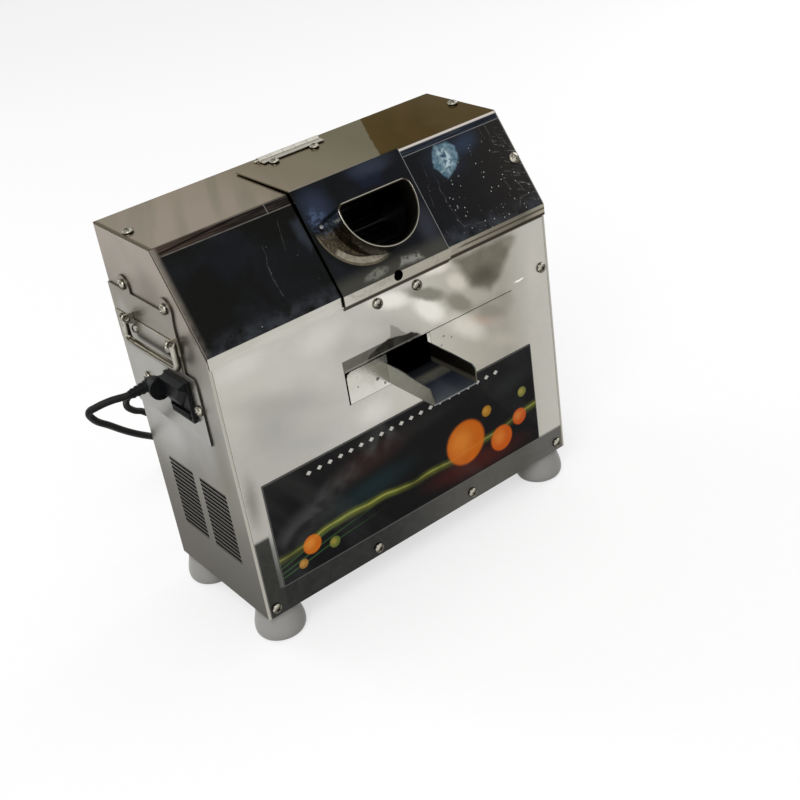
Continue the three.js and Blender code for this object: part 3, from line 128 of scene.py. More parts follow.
class Wire:
    # a socket that takes part in sums; read as a place, a number or a colour by the methods below

    def __init__(self, paint, socket):
        self.paint = paint
        self.socket = socket

    def calc(self, operation, *others, **more):
        return self.paint.math(operation, self, *others, **more)

    __add__ = __radd__ = partialmethod(calc, "ADD")
    __sub__ = partialmethod(calc, "SUBTRACT")
    __mul__ = __rmul__ = partialmethod(calc, "MULTIPLY")
    __truediv__ = partialmethod(calc, "DIVIDE")
    least = partialmethod(calc, "MINIMUM")
    most = partialmethod(calc, "MAXIMUM")
    size = partialmethod(calc, "ABSOLUTE")

    def __rsub__(self, other):
        return self.paint.math("SUBTRACT", other, self)

    def also(self, out):
        # another socket of the same node
        return Wire(self.paint, self.socket.node.outputs[out])

    def split(self):
        made = self.paint.node("SeparateXYZ", {0: self})
        return [made.also(i) for i in range(3)]

    # numbers

    def rise(self, low, high):
        # 0 below low, 1 above high, and the other way round when low is the larger
        ends = {"Value": self, "From Min": low, "From Max": high}
        return self.paint.node("MapRange", ends, interpolation_type="SMOOTHSTEP")

    def near(self, middle, reach, soft=0.5):
        # 1 within reach of middle, and fading out over soft times the reach
        return (self - middle).size().rise(reach * (1 + soft), reach * (1 - soft))

    def mix(self, first, second):
        return self.paint.blend(self, first, second)

    def ramp(self, *rows):
        # rows are (position, red, green, blue)
        made = self.paint.node("ValToRGB", {0: self})
        stops = made.socket.node.color_ramp.elements
        while len(stops) < len(rows):
            stops.new(0.5)
        for stop, (at, *shade) in zip(stops, rows):
            stop.position = at
            stop.color = tone(*shade)
        return made

    # colours

    def over(self, share, *shade):
        # this colour with another laid over it
        return self.paint.blend(share, self, shade[0] if len(shade) == 1 else shade)

    def layers(self, *rows):
        made = self
        for row in rows:
            made = made.over(*row)
        return made

    def patches(self, where, edge, *rows):
        # soft ellipses of colour; rows are (x, y, reach, reach, turn, share, red, green, blue)
        return self.layers(*((where.patch(*row[:5], edge) * row[5], *row[6:]) for row in rows))

    def mottle(self, cloud, amount):
        # this colour made lighter and darker by a noise
        return self.paint.shade(self, (cloud - 0.5) * amount + 1)

    # places

    def noise(self, scale=1, detail=3, rough=0.5, warp=0, out=0):
        inputs = {"Vector": self, "Scale": scale, "Detail": detail, "Roughness": rough, "Distortion": warp}
        return self.paint.node("TexNoise", inputs, out)

    def local(self, middle, reach, turn):
        # the place as seen from middle, in units of reach
        inputs = {"Vector": self, "Location": (*middle, 0), "Rotation": (0, 0, turn), "Scale": (*reach, 1)}
        return self.paint.node("Mapping", inputs, vector_type="TEXTURE")

    def patch(self, x, y, reachX, reachY, turn=0, edge=0.9):
        # a soft ellipse: 1 in its middle and 0 at its rim
        local = self.local((x, y), (reachX, reachY), math.radians(turn))
        return self.paint.node("TexGradient", {0: local}, gradient_type="SPHERICAL").rise(0, edge)

    def stroke(self, x0, y0, x1, y1, width, soft=0.6):
        # a thin straight line from start to end
        middle, length, turn = spanOf((x0, y0), (x1, y1))
        on, across, _ = self.local(middle, (length / 2, width / 2), turn).split()
        return across.size().rise(1 + soft, 1 - soft) * on.size().rise(1, 0.85)

    def sweep(self, x0, y0, x1, y1, width, edge=0.9):
        # a soft long ellipse from start to end
        middle, length, turn = spanOf((x0, y0), (x1, y1))
        return self.patch(*middle, length * 0.6, width, math.degrees(turn), edge)

    def polygon(self, corners, soft=1):
        # 1 inside a convex outline and 0 outside, over an edge of twice the soft width
        middle = [sum(values) / len(corners) for values in zip(*corners)]
        least = None
        for (x0, y0), (x1, y1) in zip(corners, corners[1:] + corners[:1]):
            length = math.dist((x0, y0), (x1, y1))
            nx, ny = (y0 - y1) / length, (x1 - x0) / length
            if (middle[0] - x0) * nx + (middle[1] - y0) * ny < 0:
                nx, ny = -nx, -ny
            reach = self.calc("DOT_PRODUCT", (nx, ny, 0), kind="VectorMath", out=1)
            inside = reach - (x0 * nx + y0 * ny)
            least = inside if least is None else least.least(inside)
        return least.rise(-soft, soft)

    def stir(self, amount, scale):
        # moves places about by up to amount, so that what is drawn there gets uneven edges
        moved = self.noise(scale, 2, out="Color").calc(
            "MULTIPLY_ADD", (amount * 2, amount * 2, 0), (-amount, -amount, 0), kind="VectorMath")
        return self.calc("ADD", moved, kind="VectorMath")

    def specks(self, cell, radius, share, seed):
        # sparse round dots: share is the part of the cells that hold one
        moved = self.calc("ADD", (seed, seed * 1.7, seed * 0.3), kind="VectorMath")
        cells = self.paint.node("TexVoronoi", {"Vector": moved, "Scale": 1 / cell}, "Color")
        picked = self.paint.node("SeparateColor", {0: cells})
        return cells.also("Distance").rise(radius / cell, radius / cell * 0.4) * picked.rise(share, share * 0.6)


class Paint:
    # the node tree of one material, or of the world

    def __init__(self, name, store=bpy.data.materials):
        self.owner = store.new(name)
        self.owner.use_nodes = True
        self.tree = self.owner.node_tree
        self.tree.nodes.clear()

    def node(self, kind, inputs=None, out=0, **settings):
        made = self.tree.nodes.new("ShaderNode" + kind)
        for key, value in settings.items():
            setattr(made, key, value)
        for key, value in (inputs or {}).items():
            self.join(value, made.inputs[key])
        return Wire(self, made.outputs[out])

    def join(self, value, socket):
        if isinstance(value, Wire):
            self.tree.links.new(value.socket, socket)
        else:
            socket.default_value = value

    def math(self, operation, *values, kind="Math", out=0):
        return self.node(kind, dict(enumerate(values)), out, operation=operation)

    def coords(self, out="Object"):
        return self.node("TexCoord", out=out)

    def spots(self):
        # x, y and z in body millimetres, carried along by the piece
        return [axis * 1000 - shift for axis, shift in zip(self.coords().split(), origin)]

    def facing(self):
        return self.coords("Normal").split()

    def worn(self, low, high):
        # 1 on the outer edges of a piece
        return self.node("NewGeometry", out="Pointiness").rise(low, high)

    def vector(self, x, y, z=0):
        return self.node("CombineXYZ", {0: x, 1: y, 2: z})

    def blend(self, amount, first, second, kind="MIX"):
        # colours of three values are read off a screen
        first, second = (tone(*c) if isinstance(c, tuple) and len(c) == 3 else c for c in (first, second))
        return self.node("Mix", {0: amount, 6: first, 7: second}, 2, data_type="RGBA", blend_type=kind)

    def shade(self, colour, factor):
        # multiplies a colour by a number
        grey = self.node("CombineColor", {0: factor, 1: factor, 2: factor})
        return self.blend(1, colour, grey, "MULTIPLY")

    def surface(self, colour, rough, metal=1, bump=None, gloss=0.5, tint=1):
        # bump is (height, strength, distance); tint is a colour or a grey
        tint = tint if isinstance(tint, tuple) else (tint, tint, tint)
        inputs = {
            "Base Color": colour, "Roughness": rough, "Metallic": metal, "Specular IOR Level": gloss,
            "Specular Tint": (*tint, 1)}
        if bump:
            inputs["Normal"] = self.node("Bump", dict(zip(("Height", "Strength", "Distance"), bump)))
        return self.node("BsdfPrincipled", inputs)

    def show(self, shader, kind="Material"):
        out = self.tree.nodes.new("ShaderNodeOutput" + kind)
        self.join(shader, out.inputs["Surface"])
        return self.owner

    def finish(self, *looks, **more):
        return self.show(self.surface(*looks, **more))

    def seen(self):
        # 1 for rays from the camera, also by way of a mirror or of glass
        path = self.node("LightPath", out="Is Camera Ray")
        return path.most(path.also("Is Glossy Ray")).most(path.also("Is Transmission Ray"))


# surroundings
stage = {
    "dimRoom": 0.62, "floorRadius": 30, "floorSides": 64, "floorGlow": 1.06, "glowShare": 0.6, "aim": (0, 0, 0.15),
    "lamps": (
        ("keyLamp", (-1.3, -1.2, 1.9), 1.3, 26), ("fillLamp", (2.1, 0.2, 1), 1.2, 12),
        ("rearLamp", (-1, 1.8, 1.1), 1.1, 9)),
}


def makeStage():
    scene.view_settings.view_transform = "Standard"
    white = (1, 1, 1, 1)
    sky = Paint("studio", bpy.data.worlds)
    strength = sky.node("MapRange", {"Value": sky.seen(), "To Min": stage["dimRoom"]})
    scene.world = sky.show(sky.node("Background", {"Color": white, "Strength": strength}), "World")

    paper = Paint("floorPaper")
    grain = paper.coords().noise(90, 4)
    matt = paper.surface(grain.mix((0.86, 0.86, 0.86, 1), (0.9, 0.9, 0.9, 1)), 0.9, 0)
    glow = paper.node("Emission", {"Color": white, "Strength": stage["floorGlow"]})
    share = paper.seen() * stage["glowShare"]
    paper.show(paper.node("MixShader", {0: share, 1: matt, 2: glow}))

    mesh = bpy.data.meshes.new("floor")
    sides = stage["floorSides"]
    turns = [2 * math.pi * i / sides for i in range(sides)]
    rim = [(stage["floorRadius"] * math.cos(a), stage["floorRadius"] * math.sin(a), 0) for a in turns]
    mesh.from_pydata(rim, [], [list(range(sides))])
    mesh.materials.append(paper.owner)
    floor = addObject("floor", mesh)

    for name, place, size, power in stage["lamps"]:
        data = bpy.data.lights.new(name, "AREA")
        data.shape = "DISK"
        data.size = size
        data.energy = power
        made = addObject(name, data)
        made.location = place
        made.rotation_euler = (made.location - Vector(stage["aim"])).to_track_quat("Z", "Y").to_euler()


makeStage()
print("stage lit")


# mesh building

def rework(mesh, change):
    work = bmesh.new()
    work.from_mesh(mesh)
    change(work)
    work.to_mesh(mesh)
    work.free()


def faceOut(work):
    bmesh.ops.recalc_face_normals(work, faces=work.faces)


def addPiece(name, mesh, finish, body, crease=35):
    rework(mesh, faceOut)
    mesh.shade_smooth()
    mesh.set_sharp_from_angle(angle=math.radians(crease))
    mesh.materials.clear()
    mesh.materials.append(finish)
    piece = addObject(name, mesh)
    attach(piece, body)
    return piece


def standFor(piece, *names):
    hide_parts(*names)
    return piece


def joinShapes(name, shapes):
    # shapes are (points, faces) in body millimetres
    points, faces = [], []
    for shapePoints, shapeFaces in shapes:
        faces += [[len(points) + i for i in face] for face in shapeFaces]
        points += shapePoints
    mesh = bpy.data.meshes.new(name)
    mesh.from_pydata([spot(*p) for p in points], [], faces)
    mesh.update()
    return mesh


def loft(rings, closed=False):
    # rings of equal length, joined side by side and capped at both ends unless closed into a loop
    count = len(rings[0])
    points = [p for ring in rings for p in ring]
    faces = []
    for r in range(len(rings) if closed else len(rings) - 1):
        low, high = r * count, (r + 1) % len(rings) * count
        for i in range(count):
            j = (i + 1) % count
            faces.append([low + i, low + j, high + j, high + i])
    if not closed:
        faces.append(list(range(count))[::-1])
        faces.append([len(points) - count + i for i in range(count)])
    return points, faces


def axes(axis):
    ahead = Vector(axis).normalized()
    side = ahead.orthogonal().normalized()
    return side, ahead.cross(side), ahead


def ringAbout(centre, side, up, radius, sides):
    turns = [2 * math.pi * i / sides for i in range(sides)]
    return [tuple(centre + (side * math.cos(a) + up * math.sin(a)) * radius) for a in turns]


def turned(profile, base, axis, sides=48):
    # (radius, height) pairs turned about axis through base; the ends are small rings
    side, up, ahead = axes(axis)
    return loft([
        ringAbout(Vector(base) + ahead * height, side, up, max(radius, 0.01), sides) for radius, height in profile])


def swept(path, radii, sides=20, roundEnds=True):
    # a tube along path; radii is one number or one for each point
    points = [Vector(p) for p in path]
    last = len(points) - 1
    if isinstance(radii, (int, float)):
        radii = [radii] * len(points)
    heads = [(points[min(i + 1, last)] - points[max(i - 1, 0)]).normalized() for i in range(len(points))]
    side = heads[0].orthogonal().normalized()
    dome = (0.35, 0.75, 1.1, 1.45)
    rings = []
    for i, (point, head, radius) in enumerate(zip(points, heads, radii)):
        side = (side - head * side.dot(head)).normalized()
        up = head.cross(side)
        spans = [(point, radius)]
        if roundEnds and i == 0:
            spans = [(point - head * radius * math.sin(a), radius * math.cos(a)) for a in dome[::-1]] + spans
        if roundEnds and i == last:
            spans += [(point + head * radius * math.sin(a), radius * math.cos(a)) for a in dome]
        rings += [ringAbout(centre, side, up, reach, sides) for centre, reach in spans]
    return loft(rings)


def roundedPath(corners, radius, steps):
    # a path whose inner corners are arcs
    corners = [Vector(corner) for corner in corners]
    made = [corners[0]]
    for before, here, after in zip(corners, corners[1:], corners[2:]):
        back = (before - here).normalized()
        on = (after - here).normalized()
        half = back.angle(on) / 2
        reach = radius / math.tan(half)
        centre = here + (back + on).normalized() * radius / math.sin(half)
        first = here + back * reach - centre
        last = here + on * reach - centre
        made += [centre + first.slerp(last, k / steps) * radius for k in range(steps + 1)]
    return made + [corners[-1]]


weld = {"gap": 2e-6, "flat": math.radians(1)}


def mergeFlats(work):
    bmesh.ops.remove_doubles(work, verts=work.verts, dist=weld["gap"])
    bmesh.ops.dissolve_limit(work, angle_limit=weld["flat"], verts=work.verts, edges=work.edges)


def dressNode(name, finish, width, segments=2, crease=32):
    # the same solid as the node, welded, with its flat faces made whole and its edges eased
    mesh = nodes[name].data.copy()
    mesh.name = name + "_dressed"
    rework(mesh, mergeFlats)
    for layer in ("custom_normal", "sharp_face", "sharp_edge"):
        if layer in mesh.attributes:
            mesh.attributes.remove(mesh.attributes[layer])
    piece = addPiece(mesh.name, mesh, finish, bodyOf[name], crease)
    edge = piece.modifiers.new("edge", "BEVEL")
    edge.width = width / 1000
    edge.segments = segments
    edge.limit_method = "ANGLE"
    edge.angle_limit = math.radians(crease)
    edge.harden_normals = True
    return standFor(piece, name)


# finishes: marks are placed in body millimetres, with colours as they look on a screen; on the polished steel most
# colours are painted reflections of a room

# scale, detail and roughness of the faint rolling lines and fine dirt of polished sheet
sheetGrain = (0.9, 4, 0.65)


def slantReflectionsAndScratches(paint, colour, flat, x, along):
    # painted reflections of a dark room on the sloping face of polished sheet, with painted highlights along its
    # bends and edges, a pale blue blotch, scratches, specks and scuffs
    ragged = flat.noise(0.16, 4, 0.6)
    stirred = flat.stir(1.6, 0.12)
    streak = paint.vector(x * 0.035, along * 0.9).noise(1, 3, 0.7).rise(0.45, 0.68)
    left = x.rise(-40, -50)
    # painted reflection: a lighter band along the foot of the slope, and a darker bluish patch on the left
    foot = along.rise(17, 2) * flat.noise(0.07, 4, 0.6).rise(0.35, 0.65)
    colour = colour.layers(
        (foot * 0.75, 58, 61, 66),
        (stirred.polygon([(-140, 70), (-108, 80), (-96, 62), (-128, 46)], 9) * 0.5, 30, 33, 40))
    # painted reflection: a dark brown band along the upper bend on the left, with a dark stroke and a painted
    # highlight line; rim is a painted highlight on that bend
    band = flat.polygon([(-177, 94), (-177, 84.5), (-40, 84.5), (-40, 94)], 0.7)
    bandTone = (x / 136 + 1.294).ramp(
        (0, 70, 58, 51), (0.35, 48, 38, 33), (0.6, 30, 26, 24), (1, 27, 25, 25))
    bandTone = bandTone.over(streak * 0.14, 140, 126, 116)
    rim = (along + x * 0.004).near(83.6, 0.4, 0.8) * left * x.rise(-174, -164)
    # painted reflections: a bluish haze, and lighter strips near the left edge as painted highlights
    haze = stirred.polygon([(-57, 70), (-49, 72), (-48, 48), (-53, 44), (-58, 56)], 4)
    leftEdgeSheen = x.rise(-168.5, -174) * (along * 0.011 + ragged * 0.8 - 0.25)
    right = x.rise(64, 66)
    torn = flat.stir(2.2, 0.14)
    mottled = flat.noise(0.16, 4, 0.65, 0.6)
    cloud = torn.polygon([
        (88.6, 66), (93.6, 77.5), (99, 83.5), (113, 83), (118.6, 76.5), (116.4, 66), (108, 58.5),
        (97.6, 52.6)], 1.2)
    blue = mottled.ramp((0.3, 50, 74, 90), (0.48, 86, 112, 126), (0.6, 116, 140, 150), (0.72, 150, 170, 178))
    pale = torn.polygon([(100, 80), (106, 79), (110, 69), (105, 59), (99, 57)], 2.2)
    around = torn.patch(104, 70, 30, 26, 0, 0.9)
    colour = colour.layers(
        (band * 0.85, bandTone),
        (flat.stroke(-176, 86.4, -96, 91.2, 1.6) * left * 0.9, 22, 18, 16),
        (flat.stroke(-130, 92.2, -49, 92.2, 0.9) * left * 0.55, 150, 143, 134),
        (rim * (ragged + 0.15), 122, 118, 112),
        (flat.stroke(-71.8, 93, -71.4, 83, 0.7) * 0.6, 140, 138, 134),
        (haze * 0.4, 66, 73, 84),
        (leftEdgeSheen, 118, 112, 103),
        (x.rise(-174.2, -174.8) * 0.7, 150, 144, 134),
        # painted reflection and highlights along the upper bend on the right: a dark band, a light line and a
        # bright line
        (right * along.rise(85.3, 86.2), streak.mix((30, 34, 42), (56, 60, 68))),
        (right * along.near(84.6, 0.3, 0.8) * 0.8, 128, 131, 134),
        (right * along.rise(89.4, 90.6), 205, 197, 189),
        (cloud * 0.92, blue),
        (pale * mottled.rise(0.4, 0.58) * 0.8, 184, 202, 208),
        (around * (1 - cloud) * 0.35, 50, 60, 76),
        (torn.patch(130, 76, 22, 13, 10) * 0.5, 54, 68, 90))
    # scratches: both ends, width and share
    for *line, share in (
            (-89.3, 63, -92.4, 48, 0.55, 0.5), (-92.4, 49, -94.6, 34, 0.55, 0.5),
            (-94.6, 35, -93.6, 19, 0.6, 0.6), (-73, 52, -67, 77, 0.5, 0.3), (85.6, 61, 84.6, 33, 0.6, 0.5),
            (84.6, 33, 87.2, 17, 0.5, 0.4), (79.4, 58, 73, 51, 0.5, 0.4), (73, 51, 71, 34, 0.5, 0.3),
            (81.3, 76.4, 78, 60, 0.5, 0.3), (157.2, 84, 157.6, 64, 0.6, 0.7), (150, 84, 150.5, 72, 0.4, 0.4),
            (163, 80, 166, 58, 0.4, 0.4), (153, 13.4, 176, 12.2, 0.6, 0.6), (154, 13, 150.6, 5, 0.6, 0.6),
            (172, 74, 176, 60, 0.5, 0.5), (88, 11, 110, 6, 0.5, 0.5), (166, 44, 176, 38, 0.6, 0.5),
            (148, 34, 151, 22, 0.7, 0.6), (160, 28, 163, 16, 0.7, 0.6), (168, 66, 174, 52, 0.7, 0.6),
            (84, 20, 90, 9, 0.7, 0.5), (69, 16, 74, 4, 0.6, 0.4)):
        colour = colour.over(torn.stroke(*line) * (ragged * 2.6 - 0.9) * share, 120, 120, 118)
    sparse = flat.specks(7, 0.7, 0.2, 3) * (along.rise(30, 12) + 0.25)
    dense = flat.specks(3.2, 0.7, 0.4, 11) * x.rise(66, 90) * flat.patch(132, 28, 62, 54, 0, 0.4)
    scuff = paint.vector(x * 0.22 + along * 0.5, along * 0.16).noise(1, 5, 0.8).rise(0.56, 0.66)
    worn = flat.patch(167, 40, 19, 44, 8, 0.6)
    colour = colour.layers(
        ((sparse * 0.6 + dense).least(1) * 0.85, 190, 190, 186),
        (scuff * worn * 0.75, 150, 148, 142),
        # painted highlight along the right edge
        (x.rise(173.6, 174.6) * 0.8, 140, 138, 134))
    return colour


def lidReflectionsAndSpecks(colour, flat, x, along):
    # painted reflections around the feed tube: its mirrored wall as a dull ring with arcs, bluish hazes, painted
    # glints and highlights, and specks
    torn = flat.stir(2, 0.1)
    mottled = flat.noise(0.22, 4, 0.65, 0.8)
    dx = x + 3.2
    dy = along - 53.9
    far = (dx * dx + dy * dy).calc("SQRT")
    around = dy.calc("ARCTAN2", dx)
    edge = around.rise(-1.2, -1.6) * (1 - around.rise(0, 0.5)) * (around.size() * -1).rise(-3.1416, -3)
    # the ring is where the tube's wall shows as a painted reflection, coloured by the banded body below
    ring = far.rise(42.4, 41) * edge
    veins = flat.noise(0.3, 4, 0.7, 1.4)
    body = veins.ramp(
        (0.3, 20, 17, 11), (0.42, 58, 51, 38), (0.48, 24, 20, 14), (0.55, 96, 86, 66), (0.61, 40, 35, 26),
        (0.7, 128, 116, 94))
    # the crescent is a painted reflection of the tube's outside; spark and glint are painted highlights, and the
    # two patches low on the lid are painted highlights too
    crescent = far.near(37.2, 2.7, 0.25) * around.rise(-2.62, -2.5) * around.rise(-1.2, -1.5)
    spark = flat.patch(-36.4, 57, 2.2, 2.2, 0, 0.5)
    glint = torn.patch(-36, 60, 12, 18, 20, 0.7) * mottled.rise(0.42, 0.6)
    lowLeftHighlight = torn.patch(-11, 4.5, 16, 5, 4, 0.6) * mottled.rise(0.36, 0.55)
    lowRightHighlight = torn.polygon([(12, 2), (17, 8), (34, 6), (36, 1)], 2.4) * mottled.rise(0.34, 0.56)
    # painted reflections: bluish hazes and a lighter band low on the lid, then the ring and its arcs, the
    # highlights and specks
    colour = colour.layers(
        (torn.patch(-33, 72, 22, 28, 8) * 0.75, 50, 58, 76),
        (torn.polygon([(8, 90), (22, 92), (40, 84), (34, 72), (14, 72)], 4) * 0.6, 30, 36, 52),
        (torn.patch(30, 88, 34, 12, 0) * 0.5, 62, 68, 82),
        (flat.patch(54, 22, 16, 30, 0) * 0.7, 54, 57, 64),
        (along.rise(16, 3) * 0.7, 74, 73, 66),
        (ring * 0.92, body),
        (far.near(41.2, 0.7, 0.6) * edge * (mottled * 0.9), 124, 115, 94),
        (crescent * 0.9, mottled.ramp((0.35, 124, 118, 104), (0.6, 166, 160, 144))),
        (far.near(33.6, 0.7) * around.rise(-2.6, -2.3) * edge * 0.8, 30, 26, 20),
        (spark * 0.9, 226, 232, 244),
        (glint * 0.6, 84, 100, 128),
        (lowLeftHighlight * 0.5, 142, 141, 130),
        (lowRightHighlight * 0.6, 158, 157, 148),
        (flat.specks(7, 0.5, 0.2, 5) * 0.55, 190, 190, 186),
        # a dark line along the upper bend, and a painted highlight along the right edge
        (along.rise(91.4, 92.4) * mottled.rise(0.4, 0.56) * 0.7, 30, 27, 25),
        (x.rise(62.2, 63) * 0.9, 150, 150, 148))
    return colour, ring


def foldedSteel(name, isLid):
    paint = Paint(name)
    x, y, z = paint.spots()
    across = x / (2 * cabinet["halfWidth"]) + 0.5
    along = y * upY + (z - cabinet["slantLow"]) * upZ
    _, ny, nz = paint.facing()
    flat = paint.vector(x, along)
    level = paint.vector(x, y)
    cloudy = level.noise(0.018, 3, 0.55)

    # the top's colours are painted reflections of a room in polished sheet, with warm streaks on the left
    top = across.ramp(
        (0, 166, 156, 146), (0.28, 133, 126, 115), (0.5, 128, 124, 112), (0.66, 112, 110, 98),
        (1, 112, 110, 98))
    slanting = x - y * 0.5
    stripes = paint.vector(slanting * 0.05, y * 0.003).noise(1, 2, 0.4)
    warm = stripes.rise(0.42, 0.58).mix((142, 139, 130), (160, 151, 143))
    top = top.over(x.rise(-20, -90) * 0.75, warm).mottle(cloudy, 0.1)
    # painted reflection: a dark brown area over the right of the top
    brownReflection = (slanting / 100 + (cloudy - 0.5) * 0.6).ramp(
        (0, 71, 59, 38), (0.45, 60, 49, 33), (0.6, 68, 54, 37), (0.8, 61, 49, 34), (1, 72, 60, 45))
    stirred = level.stir(1.5, 0.06)
    top = top.over(stirred.polygon([(98, 150), (50, 60), (43, 47), (190, 47), (190, 150)], 0.9), brownReflection)
    if not isLid:
        top = top.layers(
            (y.rise(53.4, 52.6) * x.rise(66, 60) * 0.8, 58, 46, 40),
            (x.rise(-171.5, -173.5) * 0.7, 70, 62, 54))
    top = top.mottle(level.noise(*sheetGrain), 0.1)

    # the sloping face is painted near black with a bluish drift, as a painted reflection of a dark room
    slant = across.ramp(
        (0, 25, 25, 24), (0.4, 23, 23, 22), (0.62, 26, 27, 30), (0.8, 31, 31, 32), (1, 42, 40, 38))
    drift = flat.noise(0.02, 3, 0.5, 0.6)
    slant = slant.over(drift.rise(0.48, 0.75) * (0.3 if isLid else 0.2), 46, 53, 62)
    slant = slant.mottle(flat.noise(0.3, 5, 0.7), 0.5)
    if isLid:
        slant, ring = lidReflectionsAndSpecks(slant, flat, x, along)
    else:
        slant = slantReflectionsAndScratches(paint, slant, flat, x, along)

    # the lip's colours are painted reflections with darker blotches; the dark line along its bottom edge is painted
    # shadow, and a second dark line runs across its right part
    lip = across.ramp(
        (0, 190, 187, 178), (0.33, 196, 193, 185), (0.42, 176, 171, 160), (0.68, 156, 151, 138),
        (0.82, 122, 116, 104), (0.93, 108, 103, 92), (1, 160, 155, 138))
    front = paint.vector(x, z)
    lip = lip.mottle(paint.vector(x * 0.03, z * 0.2).noise(1, 4, 0.6), 0.3)
    lipBlotches = front.noise(0.06, 3, 0.6, 1.5).rise(0.52, 0.66)
    lip = lip.layers(
        (z.rise(246.4, 245.2) * 0.6 * x.rise(-60, -40), 84, 78, 68),
        (lipBlotches * x.rise(-60, -40) * 0.3, 120, 114, 102),
        (z.near(251.2, 0.9, 0.4) * x.rise(70, 84) * 0.85, 66, 60, 50),
        (z.near(245.2, 2, 0.3) * x.rise(-48.4, -47.8) * 0.94, 46, 41, 34))

    onTop = nz.rise(0.72, 0.93)
    onSlant = nz.rise(0.2, 0.42) * (1 - onTop)
    onLip = ny.rise(-0.9, -0.97)
    # faces that are not top, slope or lip take a plain darker grey as painted shade
    colour = onTop.mix((92, 90, 84), top).layers((onSlant, slant), (onLip, lip))
    rough = onSlant * -0.05 + 0.16 + (cloudy - 0.5) * 0.08
    metal = 1
    if isLid:
        # the tube's painted reflection is made rougher and mostly not metallic, so that its painted colours show
        ring = ring * onSlant
        rough = rough + ring * 0.3
        metal = 1 - ring * 0.92
    wavy = paint.coords().noise(9, 2, 0.4)
    # the tint keeps a metal seen at a low angle from turning white
    return paint.finish(colour, rough, metal, (wavy, 0.25, 0.004), tint=(0.57, 0.53, 0.46))


